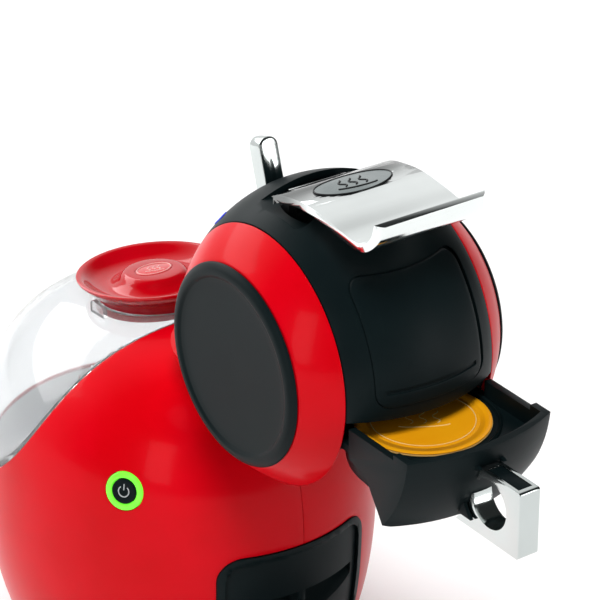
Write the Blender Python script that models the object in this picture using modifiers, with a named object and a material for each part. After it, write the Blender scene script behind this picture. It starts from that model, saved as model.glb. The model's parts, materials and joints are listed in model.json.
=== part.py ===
"""Pod coffee machine: glossy red egg body, round head with a pod drawer, clear water tank.

Metres, +Z up, the front faces -Y. The origin is on the floor under the middle of the bounding box.
"""
import math

import bmesh
import bpy
from mathutils import Matrix, Vector

# ---------------------------------------------------------------- driving dimensions (metres)
GAP = 0.0003                 # clearance between pieces that touch
FIT = 0.0006                 # clearance between pieces that slide past each other
WALL = 0.0024                # moulded shell thickness

# Body: an egg, round in plan but stretched front to back
BODY_HALF_WIDTH = 0.082
BODY_HALF_DEPTH = 0.095
WAIST_Z = 0.115              # height of the widest section
BODY_RISE = 0.080            # from the waist to the crown
BODY_DROP = 0.125            # from the waist to where the lower curve would close
CROWN_POWER = 2.8            # fullness of the curve above the waist
KEEL_POWER = 2.3             # fullness of the curve below the waist
BODY_SET_BACK = 0.118        # egg axis behind the head's centre

# Head: a ball cut flat on both sides
HEAD_R = 0.064
HEAD_Z = 0.232
BAND_HALF = 0.0348           # half width of the black middle band
RING_OUT = 0.0486            # where the red rings end
HEAD_WALL = 0.003
CUFF_DROP = 0.006            # band's lower front edge, below the ball's centre

# Neck between the body and the head, measured from the ball's centre
NECK_HALF = 0.026
NECK_FRONT = HEAD_R - 0.028
NECK_BACK = HEAD_R + 0.006
NECK_HOSE_Y = NECK_FRONT + 0.010
NECK_FOOT = 0.1208           # neck's lower end above the floor
COLLAR_Y = 0.050             # flared collar between the body and the head
COLLAR_LOW = -0.082
COLLAR_HIGH = -0.026
COLLAR_R_LOW = 0.020
COLLAR_R_HIGH = 0.039

# Pod drawer, pod and grip
DRAWER_TRAVEL = 0.036        # how far the drawer stands open at rest
DRAWER_DEPTH = 0.0415        # front's lower edge below the ball's centre
FRONT_BOW = (HEAD_R + 0.008, HEAD_R - 0.0015, HEAD_R + 0.002)
FRONT_THICK = 0.0034
DRAWER_WALL = 0.003
STEP_DOWN = 0.0085           # side walls' upper edge behind the front plate
POD_R = 0.027
POD_AXIS_Y = 0.0445 - HEAD_R  # pod centre in front of the ball's centre when closed
POD_Z = -0.0145              # pod lid below the ball's centre
CUP_DEPTH = 0.026
CUP_FOOT_R = 0.018
CUP_WALL = 0.0012
SEAT_TOP = POD_Z - 0.0013     # pod seat plate, under the cup's rim
SEAT_BOTTOM = SEAT_TOP - 0.0032
GRIP_NOSE = 0.0225           # how far the grip stands out of the drawer's front
GRIP_REACH = FRONT_BOW[1] + DRAWER_TRAVEL + GRIP_NOSE   # nose in front of the ball's centre
GRIP_THICK = 0.0095
GRIP_TOP = -0.0146
GRIP_BOTTOM = -0.0433
GRIP_HOLE_R = 0.0103
GRIP_HOLE = (0.018 - GRIP_REACH, -0.0276)

# Locking handle and selector lever
HANDLE_HALF = 0.027
HANDLE_THICK = 0.003
HANDLE_CORNER = 0.0075
BARREL_HALF = 0.0136         # hinge barrel's half length
BARREL_R = 0.0034
HINGE_Y = 0.014
HINGE_Z = HEAD_R - 0.0078     # hinge line just inside the ball
PIN_R = 0.0016
LEVER_LEAN = math.radians(17)
LEVER_SWING = math.radians(20)
LEVER_OFFSET = HEAD_R - 0.0318      # where the lever's line crosses the ball's centre height
LEVER_PIVOT = HEAD_R - 0.034  # distances along the lever's line from there
LEVER_BASE = HEAD_R - 0.018
LEVER_TOP = HEAD_R + 0.0035
LEVER_WIDTH = 0.0092
LEVER_THICK = 0.0080
LEVER_TAIL = 0.004           # how far the lever reaches below its pivot
MARK_R = 0.0034

# Water tank and its lid
TANK_ARC_R = 0.0805          # the tank's lower edge is an arc seen from the side
TANK_ARC_BACK = 0.063        # arc centre behind the egg's axis
TANK_ARC_Z = 0.197
TANK_WALL = 0.0022
LID_R = 0.0335
LID_TILT = math.radians(7)
LID_BACK = 0.015             # lid centre behind the egg's axis
LID_Z = 0.1935
FILL_R = 0.026
VALVE_R = 0.0075
VALVE_BACK = 0.046

# Front ladder that carries the drip tray
LADDER_HALF = 0.037
LADDER_TOP = 0.1205
LADDER_BOTTOM = 0.030
LADDER_DEPTH = 0.012
SLOT_HALF = 0.030
SLOT_PITCH = 0.025
SLOT_HEIGHT = 0.013
SLOT_DROP = 0.0235           # first slot's upper edge below the ladder's top
SLOT_COUNT = 3
SLOT_REACH = 0.010           # how far a slot goes in behind its upper edge
RIB_HALF = 0.0018

# Drip tray and grid
TRAY_R = 0.050
TRAY_DEPTH = 0.018
GRID_THICK = 0.0022

# Base and feet
FOOT_R = 0.007
FOOT_HEIGHT = 0.004
BASE_R = 0.061
BASE_TOP = 0.026
SKIRT_Z = 0.0265             # red shells end here

# Power button
BUTTON_X = -0.0629
BUTTON_Z = 0.149
BUTTON_R = 0.0054
LENS_R = 0.0082
BUTTON_TRAVEL = 0.0012

# Works inside the body
PUMP_Z = 0.046               # pump's axis above the floor
PUMP_R = 0.0105
PISTON_BORE = 0.0062
HOSE_R = 0.0022              # hose up to the head

# Facets of the large turned pieces
BODY_SIDES = 40
HEAD_SIDES = 48

# Derived places: the bounding box is centred front to back
HEAD_Y = (GRIP_REACH - BODY_SET_BACK - BODY_HALF_DEPTH) / 2
BODY_Y = HEAD_Y + BODY_SET_BACK
HEAD = Vector((0, HEAD_Y, HEAD_Z))
STRETCH = BODY_HALF_DEPTH / BODY_HALF_WIDTH
ARC_Y = BODY_Y + TANK_ARC_BACK
POD_Y = HEAD_Y + POD_AXIS_Y - DRAWER_TRAVEL

TURN_X = Matrix.Rotation(math.pi / 2, 4, "Y")


# ---------------------------------------------------------------- scene and helpers
def clear_scene():
    for old in list(bpy.data.objects):
        bpy.data.objects.remove(old, do_unlink=True)


def collection(name):
    made = bpy.data.collections.new(name)
    bpy.context.scene.collection.children.link(made)
    return made


def material(name, colour, roughness=0.4, metallic=0.0, transmission=0.0, glow=0.0):
    made = bpy.data.materials.new(name)
    made.use_nodes = True
    shader = made.node_tree.nodes["Principled BSDF"]
    shader.inputs["Base Color"].default_value = (*colour, 1)
    shader.inputs["Roughness"].default_value = roughness
    shader.inputs["Metallic"].default_value = metallic
    shader.inputs["Transmission Weight"].default_value = transmission
    if glow:
        shader.inputs["Emission Color"].default_value = (*colour, 1)
        shader.inputs["Emission Strength"].default_value = glow
    made.diffuse_color = (*colour, 1)
    return made


def place(name, mesh, finish=None, where=None):
    made = bpy.data.objects.new(name, mesh)
    PARTS.objects.link(made)
    if where is not None:
        made.location = where
    if finish is not None:
        mesh.materials.append(material(name, *FINISHES[finish]))
    return made


def to_cutter(made):
    PARTS.objects.unlink(made)
    CUTTERS.objects.link(made)
    made.hide_render = True
    made.display_type = "WIRE"
    return made


def mesh_of(name, build):
    work = bmesh.new()
    build(work)
    mesh = bpy.data.meshes.new(name)
    work.to_mesh(mesh)
    work.free()
    return mesh


def box(name, low, high, finish=None, round_axis=None, radius=0.0, steps=4):
    """A box between two corners; the four edges along round_axis may be rounded."""
    low, high = Vector(low), Vector(high)
    middle = (low + high) / 2

    def build(work):
        bmesh.ops.create_cube(work, size=1, matrix=Matrix.Diagonal((*(high - low), 1)))
        if round_axis is not None:
            edges = [e for e in work.edges
                     if abs((e.verts[0].co - e.verts[1].co)[round_axis]) > 1e-6]
            bmesh.ops.bevel(work, geom=edges, offset=radius, segments=steps, profile=0.5,
                            affect="EDGES")
    return place(name, mesh_of(name, build), finish, middle)


def rod(name, start, end, radius, finish=None, sides=24, radius_end=None):
    """A cylinder or cone from start to end."""
    start, end = Vector(start), Vector(end)
    span = end - start
    turn = span.to_track_quat("Z", "Y").to_matrix().to_4x4()
    tip = radius if radius_end is None else radius_end

    def build(work):
        bmesh.ops.create_cone(work, cap_ends=True, segments=sides, radius1=radius, radius2=tip,
                              depth=span.length, matrix=turn)
    return place(name, mesh_of(name, build), finish, (start + end) / 2)


def turned(name, profile, finish=None, matrix=None, sides=36, stretch=1.0):
    """Revolves an (r, z) outline about Z, stretched along Y, then moved by matrix."""
    def build(work):
        corners = [work.verts.new((r, 0, z)) for r, z in profile]
        ends_open = profile[0][0] < 1e-9 and profile[-1][0] < 1e-9
        pairs = zip(corners, corners[1:] if ends_open else corners[1:] + corners[:1])
        for first, second in pairs:
            work.edges.new((first, second))
    made = place(name, mesh_of(name, build), finish)
    screw = made.modifiers.new("turn", "SCREW")
    screw.steps = sides
    screw.render_steps = sides
    screw.use_merge_vertices = True
    screw.merge_threshold = 0.00001
    screw.use_normal_calculate = True
    bake(made)
    made.data.transform(Matrix.Diagonal((1, stretch, 1, 1)))
    if matrix is not None:
        made.matrix_world = matrix
    return made


def bake(made):
    """Turns the modifiers or the curve into a plain welded mesh with faces out."""
    graph = bpy.context.evaluated_depsgraph_get()
    mesh = bpy.data.meshes.new_from_object(made.evaluated_get(graph))
    work = bmesh.new()
    work.from_mesh(mesh)
    bmesh.ops.remove_doubles(work, verts=work.verts, dist=0.000002)
    bmesh.ops.recalc_face_normals(work, faces=work.faces)
    work.to_mesh(mesh)
    work.free()
    if made.type == "MESH":
        made.modifiers.clear()
        made.data = mesh
        return made
    name, matrix = made.name, made.matrix_world.copy()
    bpy.data.objects.remove(made)
    swapped = bpy.data.objects.new(name, mesh)
    PARTS.objects.link(swapped)
    swapped.matrix_world = matrix
    return swapped


def cut(target, tool, operation="DIFFERENCE"):
    if tool.name not in CUTTERS.objects:
        to_cutter(tool)
    step = target.modifiers.new(tool.name, "BOOLEAN")
    step.object = tool
    step.operation = operation
    step.solver = "EXACT"
    return target


def join(target, tool):
    return cut(target, tool, "UNION")


def keep(target, tool):
    return cut(target, tool, "INTERSECT")


def tube(name, points, radius, finish):
    """A round hose or wire along smooth points."""
    line = bpy.data.curves.new(name, "CURVE")
    line.dimensions = "3D"
    line.bevel_depth = radius
    line.bevel_resolution = 1
    line.resolution_u = 4
    line.use_fill_caps = True
    spline = line.splines.new("BEZIER")
    spline.bezier_points.add(len(points) - 1)
    for knot, point in zip(spline.bezier_points, points):
        knot.co = point
        knot.handle_left_type = "AUTO"
        knot.handle_right_type = "AUTO"
    made = bpy.data.objects.new(name, line)
    PARTS.objects.link(made)
    made = bake(made)
    made.data.materials.append(material(name, *FINISHES[finish]))
    return made


def prism(name, outline, half_width, finish=None):
    """A closed (y, z) outline given thickness along X."""
    line = bpy.data.curves.new(name, "CURVE")
    line.dimensions = "2D"
    line.fill_mode = "BOTH"
    line.extrude = half_width
    spline = line.splines.new("POLY")
    spline.points.add(len(outline) - 1)
    spline.use_cyclic_u = True
    for knot, (y, z) in zip(spline.points, outline):
        knot.co = (y, z, 0, 1)
    made = bpy.data.objects.new(name, line)
    PARTS.objects.link(made)
    made.matrix_world = Matrix(((0, 0, 1, 0), (1, 0, 0, 0), (0, 1, 0, 0), (0, 0, 0, 1)))
    made = bake(made)
    made.data.transform(made.matrix_world)
    made.matrix_world = Matrix.Identity(4)
    if finish is not None:
        made.data.materials.append(material(name, *FINISHES[finish]))
    return made


def arc(radius, first, last, steps, centre=(0.0, 0.0)):
    """Points on an arc, angles in degrees."""
    return [(centre[0] + radius * math.cos(math.radians(first + (last - first) * i / steps)),
             centre[1] + radius * math.sin(math.radians(first + (last - first) * i / steps)))
            for i in range(steps + 1)]


def at_head(x, y, z):
    return HEAD + Vector((x, y, z))


# ---------------------------------------------------------------- shared shapes
def egg_radius(height):
    """Half width of the egg at a height."""
    above = height > WAIST_Z
    reach, power = (BODY_RISE, CROWN_POWER) if above else (BODY_DROP, KEEL_POWER)
    share = min(1.0, abs(height - WAIST_Z) / reach)
    return BODY_HALF_WIDTH * (1 - share ** power) ** (1 / power)


def egg_outline(inset=0.0, low=SKIRT_Z, steps_up=7, steps_down=5):
    """(r, z) points down the egg's side from the crown, moved in by inset."""
    points = []
    for i in range(steps_up + 1):
        lift = math.cos(math.pi / 2 * i / steps_up)
        points.append(WAIST_Z + BODY_RISE * lift ** (2 / CROWN_POWER))
    points += [WAIST_Z + (low - WAIST_Z) * i / steps_down for i in range(1, steps_down + 1)]
    squeeze = 1 - inset / BODY_HALF_WIDTH
    outline = []
    for height in points:
        r = egg_radius(height) * squeeze
        z = height - inset * max(0.0, (height - WAIST_Z) / BODY_RISE)
        outline.append((r, z))
    return outline


def egg_solid(name, inset=0.0, low=SKIRT_Z):
    outline = egg_outline(inset, low)
    outline[0] = (0.0, outline[0][1])
    outline.append((0.0, outline[-1][1]))
    return to_cutter(turned(name, outline, None, Matrix.Translation((0, BODY_Y, 0)), BODY_SIDES,
                            STRETCH))


def ball(name, radius, squash=(1, 1, 1), centre=(0, 0, 0), sides=40):
    def build(work):
        bmesh.ops.create_uvsphere(work, u_segments=sides, v_segments=sides // 2, radius=radius,
                                  matrix=Matrix.Diagonal((*squash, 1)))
    return to_cutter(place(name, mesh_of(name, build), None, at_head(*centre)))


def head_zone(name, inner, outer, low, high, finish, sides=HEAD_SIDES, steps=3):
    """A band of the head's ball between two X stations, hollow inside."""
    stations = [low + (high - low) * i / steps for i in range(steps + 1)]
    skin = [(math.sqrt(outer ** 2 - x ** 2), x) for x in reversed(stations)]
    lining = [(math.sqrt(inner ** 2 - x ** 2), x) for x in stations]
    return turned(name, skin + lining, finish, Matrix.Translation(HEAD) @ TURN_X, sides)


def normal_frame(point, normal):
    """A matrix at a point with its Z along the normal."""
    return Matrix.Translation(point) @ Vector(normal).to_track_quat("Z", "Y").to_matrix().to_4x4()


def body_normal(point):
    """Outward direction of the egg at a point on it."""
    above = point.z > WAIST_Z
    reach, power = (BODY_RISE, CROWN_POWER) if above else (BODY_DROP, KEEL_POWER)
    rho = math.hypot(point.x / BODY_HALF_WIDTH, (point.y - BODY_Y) / BODY_HALF_DEPTH)
    side = rho ** (power - 2)
    rise = abs((point.z - WAIST_Z) / reach) ** (power - 1) / reach
    return Vector((side * point.x / BODY_HALF_WIDTH ** 2,
                   side * (point.y - BODY_Y) / BODY_HALF_DEPTH ** 2,
                   rise if above else -rise)).normalized()


def on_body(x, z, side=-1):
    """Point on the egg's front (side -1) or back (side 1) at X and a height."""
    share = 1 - (x / egg_radius(z)) ** 2
    return Vector((x, BODY_Y + side * egg_radius(z) * STRETCH * math.sqrt(share), z))


# ---------------------------------------------------------------- body shells, tank and its seat
def tank_arc(name, radius):
    """The block whose lower side is the tank's curved edge; it reaches out over the crown."""
    top = BODY_RISE * 0.6
    back = BODY_HALF_DEPTH * 1.4
    outline = [(-radius, top)] + arc(radius, 180, 270, 18) + [(back, -radius), (back, top)]
    return to_cutter(prism(name, [(ARC_Y + y, TANK_ARC_Z + z) for y, z in outline],
                           BODY_HALF_WIDTH * 1.3))


def side_shells():
    """Left and right red covers, parted on the centre line."""
    outline = egg_outline()
    outline[0] = (0.0, outline[0][1])
    lining = egg_outline(WALL)
    lining[0] = (0.0, lining[0][1])
    wrap = tank_arc("tank_clearance", TANK_ARC_R + GAP)
    head_gap = ball("head_clearance", HEAD_R + FIT)
    ladder_gap = box("ladder_clearance", (-LADDER_HALF - GAP, -0.1, -0.01),
                     (LADDER_HALF + GAP, BODY_Y - 0.02, LADDER_TOP + GAP), None, 1, 0.011)
    neck_gap = to_cutter(neck_box("neck_clearance", GAP, NECK_FOOT))
    button_gap = rod("button_clearance", BUTTON_AT - 0.02 * BUTTON_OUT,
                     BUTTON_AT + 0.02 * BUTTON_OUT, LENS_R + GAP, sides=40)
    for side, name in ((-1, "side_shell_left"), (1, "side_shell_right")):
        shell = turned(name, outline + lining[::-1], "red_gloss",
                       Matrix.Translation((0, BODY_Y, 0)), BODY_SIDES, STRETCH)
        reach = side * BODY_HALF_WIDTH * 1.5
        edge = side * GAP / 2
        half = to_cutter(box(name + "_half", (min(edge, reach), -0.2, -0.1),
                             (max(edge, reach), 0.3, 0.4)))
        keep(shell, half)
        cut(shell, wrap)
        cut(shell, head_gap)
        cut(shell, ladder_gap)
        cut(shell, neck_gap)
        if side < 0:
            cut(shell, button_gap)


def tank():
    """Clear water tank: the egg's upper rear, open at the filler and the valve."""
    shell = turned("tank_shell", closed_egg(0.0), "clear_tank",
                   Matrix.Translation((0, BODY_Y, 0)), BODY_SIDES, STRETCH)
    keep(shell, tank_arc("tank_outside", TANK_ARC_R))
    hollow = turned("tank_hollow", closed_egg(TANK_WALL), None,
                    Matrix.Translation((0, BODY_Y, 0)), BODY_SIDES, STRETCH)
    keep(hollow, tank_arc("tank_inside", TANK_ARC_R - TANK_WALL))
    cut(shell, to_cutter(bake(hollow)))
    filler = Matrix.Translation((0, BODY_Y + LID_BACK, LID_Z)) @ Matrix.Rotation(-LID_TILT, 4, "X")
    mouth = rod("filler_mouth", filler @ Vector((0, 0, -0.02)), filler @ Vector((0, 0, 0.03)),
                FILL_R, sides=40)
    cut(shell, mouth)
    cut(shell, rod("valve_hole", valve_at(-0.012), valve_at(0.02), VALVE_R, sides=32))


def closed_egg(inset):
    outline = egg_outline(inset)
    outline[0] = (0.0, outline[0][1])
    return outline + [(0.0, outline[-1][1])]


def valve_at(lift):
    """Point on the tank valve's upright axis, above the tank's outer face there."""
    y = BODY_Y + VALVE_BACK
    return Vector((0, y, TANK_ARC_Z - math.sqrt(TANK_ARC_R ** 2 - (y - ARC_Y) ** 2) + lift))


def tank_seat():
    """Curved cradle under the tank that closes the body, with the socket for the valve."""
    seat = turned("tank_seat", closed_egg(WALL + GAP), "white_plastic",
                  Matrix.Translation((0, BODY_Y, 0)), BODY_SIDES, STRETCH)
    keep(seat, tank_arc("seat_outside", TANK_ARC_R + GAP + WALL))
    cut(seat, tank_arc("seat_inside", TANK_ARC_R + GAP))
    cut(seat, ball("seat_head_gap", HEAD_R + FIT))
    cut(seat, rod("socket_hole", valve_at(-0.03), valve_at(0.03), VALVE_R + 0.0045, sides=32))


def tank_valve():
    """Valve in the tank's outlet: body, sprung plunger, and the seal it sits in."""
    body = rod("valve_body", valve_at(-0.006), valve_at(0.008), VALVE_R - GAP, "dark_plastic", 32)
    cut(body, rod("valve_bore", valve_at(-0.02), valve_at(0.02), 0.0042, sides=24))
    rod("valve_plunger", valve_at(-0.005), valve_at(0.007), 0.0042 - FIT, "white_plastic", 20)
    seal = rod("tank_seal", valve_at(-0.008), valve_at(-0.002), VALVE_R + 0.0042, "rubber", 32)
    cut(seal, rod("seal_bore", valve_at(-0.02), valve_at(0.02), VALVE_R, sides=32))
    cut(seal, tank_arc("seal_tank_gap", TANK_ARC_R + GAP))


def tank_lid():
    """Red lid: flared rim, dished top and a raised centre knob with an oval badge."""
    pose = Matrix.Translation((0, BODY_Y + LID_BACK, LID_Z)) @ Matrix.Rotation(-LID_TILT, 4, "X")
    top = [(0.0, 0.0092), (0.010, 0.0092), (0.0135, 0.0082), (0.0165, 0.0046), (0.021, 0.0036),
           (0.0265, 0.0052), (0.031, 0.0086), (LID_R, 0.0092), (LID_R - 0.0006, 0.0072)]
    under = [(0.0285, 0.0032), (FILL_R - FIT, 0.0026), (FILL_R - FIT, -0.006),
             (FILL_R - 0.0026, -0.006), (FILL_R - 0.0026, 0.0008), (0.0, 0.0008)]
    lid = turned("tank_lid", top + under, "red_gloss", pose, 40)
    pocket = badge("lid_badge_pocket", 0.0085 + GAP, 0.0062 + GAP, 0.0085, 0.0105, None, pose)
    cut(lid, to_cutter(pocket))
    badge("lid_badge", 0.0085, 0.0062, 0.0085 + GAP, 0.0094, "badge_red", pose)
    clip_at = pose @ Vector((-LID_R + 0.0022, -0.004, 0.0))
    clip = box("lid_clip", clip_at - Vector((0.0010, 0.005, 0.0040)),
               clip_at + Vector((0.0010, 0.005, 0.0040)), "clear_tank", 0, 0.002)
    cut(clip, egg_solid("clip_body_gap", -GAP))


def badge(name, long_half, short_half, low, high, finish, pose):
    """An oval plate between two heights along the pose's Z."""
    def build(work):
        bmesh.ops.create_cone(work, cap_ends=True, segments=40, radius1=1, radius2=1, depth=1)
    made = place(name, mesh_of(name, build), finish)
    made.data.transform(Matrix.Translation((0, 0, (low + high) / 2))
                        @ Matrix.Diagonal((long_half, short_half, high - low, 1)))
    made.matrix_world = pose
    return made


# ---------------------------------------------------------------- head
def lever_axis_point(distance, across=0.0, sideways=0.0):
    """Point along the leaning selector lever, measured from the ball's centre."""
    along = Vector((0, math.sin(LEVER_LEAN), math.cos(LEVER_LEAN)))
    over = Vector((0, math.cos(LEVER_LEAN), -math.sin(LEVER_LEAN)))
    foot = Vector((0, LEVER_OFFSET, 0))
    return HEAD + foot + along * distance + over * across + Vector((sideways, 0, 0))


def head_band():
    """Black middle band, cut open for the drawer, the handle pocket and the lever slot."""
    band = head_zone("head_band", HEAD_R - HEAD_WALL, HEAD_R, -BAND_HALF, BAND_HALF, "black_satin",
                     HEAD_SIDES, 6)
    wide = BAND_HALF + 0.01
    cut(band, box("drawer_mouth", at_head(-wide, -0.09, -0.09), at_head(wide, 0.010, -CUFF_DROP)))
    cut(band, box("handle_pocket", at_head(-HANDLE_HALF - 0.001, -0.012, HINGE_Z + 0.0003),
                  at_head(HANDLE_HALF + 0.001, HINGE_Y + 0.0042, HEAD_R + 0.02)))
    reach = math.tan(LEVER_SWING) * (LEVER_BASE + 0.004 - LEVER_PIVOT) + LEVER_WIDTH / 2 + FIT
    slot = box("lever_slot", (-reach, -LEVER_THICK / 2 - FIT, -0.008),
               (reach, LEVER_THICK / 2 + FIT, 0.012))
    slot.matrix_world = (Matrix.Translation(lever_axis_point(LEVER_BASE))
                         @ Matrix.Rotation(-LEVER_LEAN, 4, "X"))
    cut(band, slot)
    cut(band, rod("band_hose_hole", at_head(0, NECK_HOSE_Y, -0.07), at_head(0, NECK_HOSE_Y, 0.0),
                  0.0035, sides=20))
    visor_gap = visor_solid("visor_pocket", HEAD_R - 0.0016, HEAD_R + 0.004, GAP)
    cut(band, visor_gap)
    for side, name in ((-1, "mark_cold"), (1, "mark_hot")):
        spot = Vector((side * 0.0283, 0.040, 0.0411)).normalized()
        cut(band, rod(name + "_hole", HEAD + spot * (HEAD_R - 0.0014), HEAD + spot * HEAD_R * 1.1,
                      MARK_R + GAP, sides=24))
        rod(name, HEAD + spot * (HEAD_R - 0.0014 + GAP), HEAD + spot * (HEAD_R + 0.0003), MARK_R,
            "blue_mark" if side < 0 else "red_mark", 24)


def visor_solid(name, inner, outer, grow):
    """Curved plate on the band's front with rounded corners."""
    shell = head_zone(name, inner, outer, -BAND_HALF, BAND_HALF, None, HEAD_SIDES, 6)
    outline = box(name + "_outline", at_head(-0.0262 - grow, -0.09, -0.0018 - grow),
                  at_head(0.0262 + grow, -0.012, 0.0475 + grow), None, 1, 0.007)
    return to_cutter(bake(keep(shell, outline)))


def visor():
    plate = head_zone("visor_panel", HEAD_R - 0.0016 + GAP, HEAD_R + 0.0004, -BAND_HALF, BAND_HALF,
                      "black_satin", HEAD_SIDES, 6)
    keep(plate, box("visor_outline", at_head(-0.0250, -0.09, -0.0006),
                    at_head(0.0250, -0.012, 0.0463), None, 1, 0.006))


def rings_and_caps():
    """Red ball zones outside the band and the dished black caps that close them."""
    for side, tag in ((-1, "left"), (1, "right")):
        low, high = sorted((side * (BAND_HALF + GAP), side * RING_OUT))
        head_zone("ring_" + tag, HEAD_R - HEAD_WALL, HEAD_R, low, high, "red_gloss")
        rim = math.sqrt(HEAD_R ** 2 - RING_OUT ** 2)
        profile = [(0.0, 0.0019), (rim - 0.0062, 0.0025), (rim - 0.0046, 0.0031),
                   (rim - 0.0028, 0.0030), (rim - 0.0004, 0.0016), (rim, 0.0004),
                   (rim - 0.0008, GAP), (0.0, GAP)]
        pose = Matrix.Translation(at_head(side * RING_OUT, 0, 0)) @ (
            TURN_X if side > 0 else Matrix.Rotation(-math.pi / 2, 4, "Y"))
        turned("cap_" + tag, profile, "black_satin", pose, HEAD_SIDES)
        cheek = rod("cheek_" + tag, at_head(side * (BAND_HALF + GAP), 0, 0),
                    at_head(side * (BAND_HALF + 0.0022), 0, 0),
                    math.sqrt((HEAD_R - HEAD_WALL) ** 2 - (BAND_HALF + 0.0022) ** 2) - GAP,
                    "dark_plastic", 48)
        cut(cheek, rod("cheek_hole_" + tag, at_head(-0.06, 0.012, 0.012),
                       at_head(0.06, 0.012, 0.012), 0.006, sides=24))


def neck():
    """Red post and collar that carry the head on the body, with the water hose's way inside."""
    post = neck_box("neck", 0.0, NECK_FOOT, "red_gloss")
    foot, top = (at_head(0, COLLAR_Y, z) for z in (COLLAR_LOW, COLLAR_HIGH))
    collar = rod("neck_collar", foot, top, COLLAR_R_LOW, sides=36, radius_end=COLLAR_R_HIGH)
    cut(collar, egg_solid("collar_body_gap", -GAP, SKIRT_Z - 0.01))
    cut(collar, tank_arc("collar_tank_gap", TANK_ARC_R + 2 * GAP))
    join(post, to_cutter(bake(collar)))
    cut(post, ball("neck_head_gap", HEAD_R + GAP))
    way = box("neck_hose_way", at_head(-0.006, NECK_HOSE_Y - 0.006, -0.13),
              at_head(0.006, NECK_HOSE_Y + 0.006, -0.02))
    join(way, box("neck_hose_turn", at_head(-0.006, NECK_HOSE_Y - 0.006, -0.13),
                  at_head(0.006, 0.10, -0.096)))
    cut(post, to_cutter(bake(way)))


def neck_box(name, grow, foot, finish=None):
    return box(name, at_head(-NECK_HALF - grow, NECK_FRONT - grow, foot - HEAD_Z),
               at_head(NECK_HALF + grow, NECK_BACK + grow, -0.030), finish, 2, 0.006 + grow)


def brew_unit():
    """Fixed bridge over the pod, the needle plate that the handle lowers, and its needle."""
    span = BAND_HALF - GAP
    bridge = box("brew_bridge", at_head(-span, -0.036, 0.012), at_head(span, 0.004, 0.018),
                 "dark_plastic")
    keep(bridge, ball("bridge_head_gap", HEAD_R - HEAD_WALL - GAP))
    cut(bridge, rod("bridge_bore", at_head(0, POD_AXIS_Y, 0), at_head(0, POD_AXIS_Y, 0.03), 0.0062,
                    sides=24))
    plate = rod("needle_plate", at_head(0, POD_AXIS_Y, 0.0008), at_head(0, POD_AXIS_Y, 0.006), 0.022,
                "dark_plastic", 40)
    join(plate, rod("needle_stem", at_head(0, POD_AXIS_Y, 0.005), at_head(0, POD_AXIS_Y, 0.026),
                    0.0056, sides=24))
    cut(plate, rod("needle_bore", at_head(0, POD_AXIS_Y, -0.01), at_head(0, POD_AXIS_Y, 0.03),
                   0.0016, sides=16))
    needle = rod("injection_needle", at_head(0, POD_AXIS_Y, -0.006),
                 at_head(0, POD_AXIS_Y, 0.022), 0.0016 - GAP, "steel", 16)
    join(needle, rod("needle_point", at_head(0, POD_AXIS_Y, -0.0075),
                     at_head(0, POD_AXIS_Y, -0.0055), 0.0003, sides=16, radius_end=0.0016 - GAP))
    seal = rod("pod_seal", at_head(0, POD_AXIS_Y, -0.0016), at_head(0, POD_AXIS_Y, 0.0005), 0.012,
               "rubber", 32)
    cut(seal, rod("pod_seal_bore", at_head(0, POD_AXIS_Y, -0.01), at_head(0, POD_AXIS_Y, 0.01),
                  0.0026, sides=20))


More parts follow.
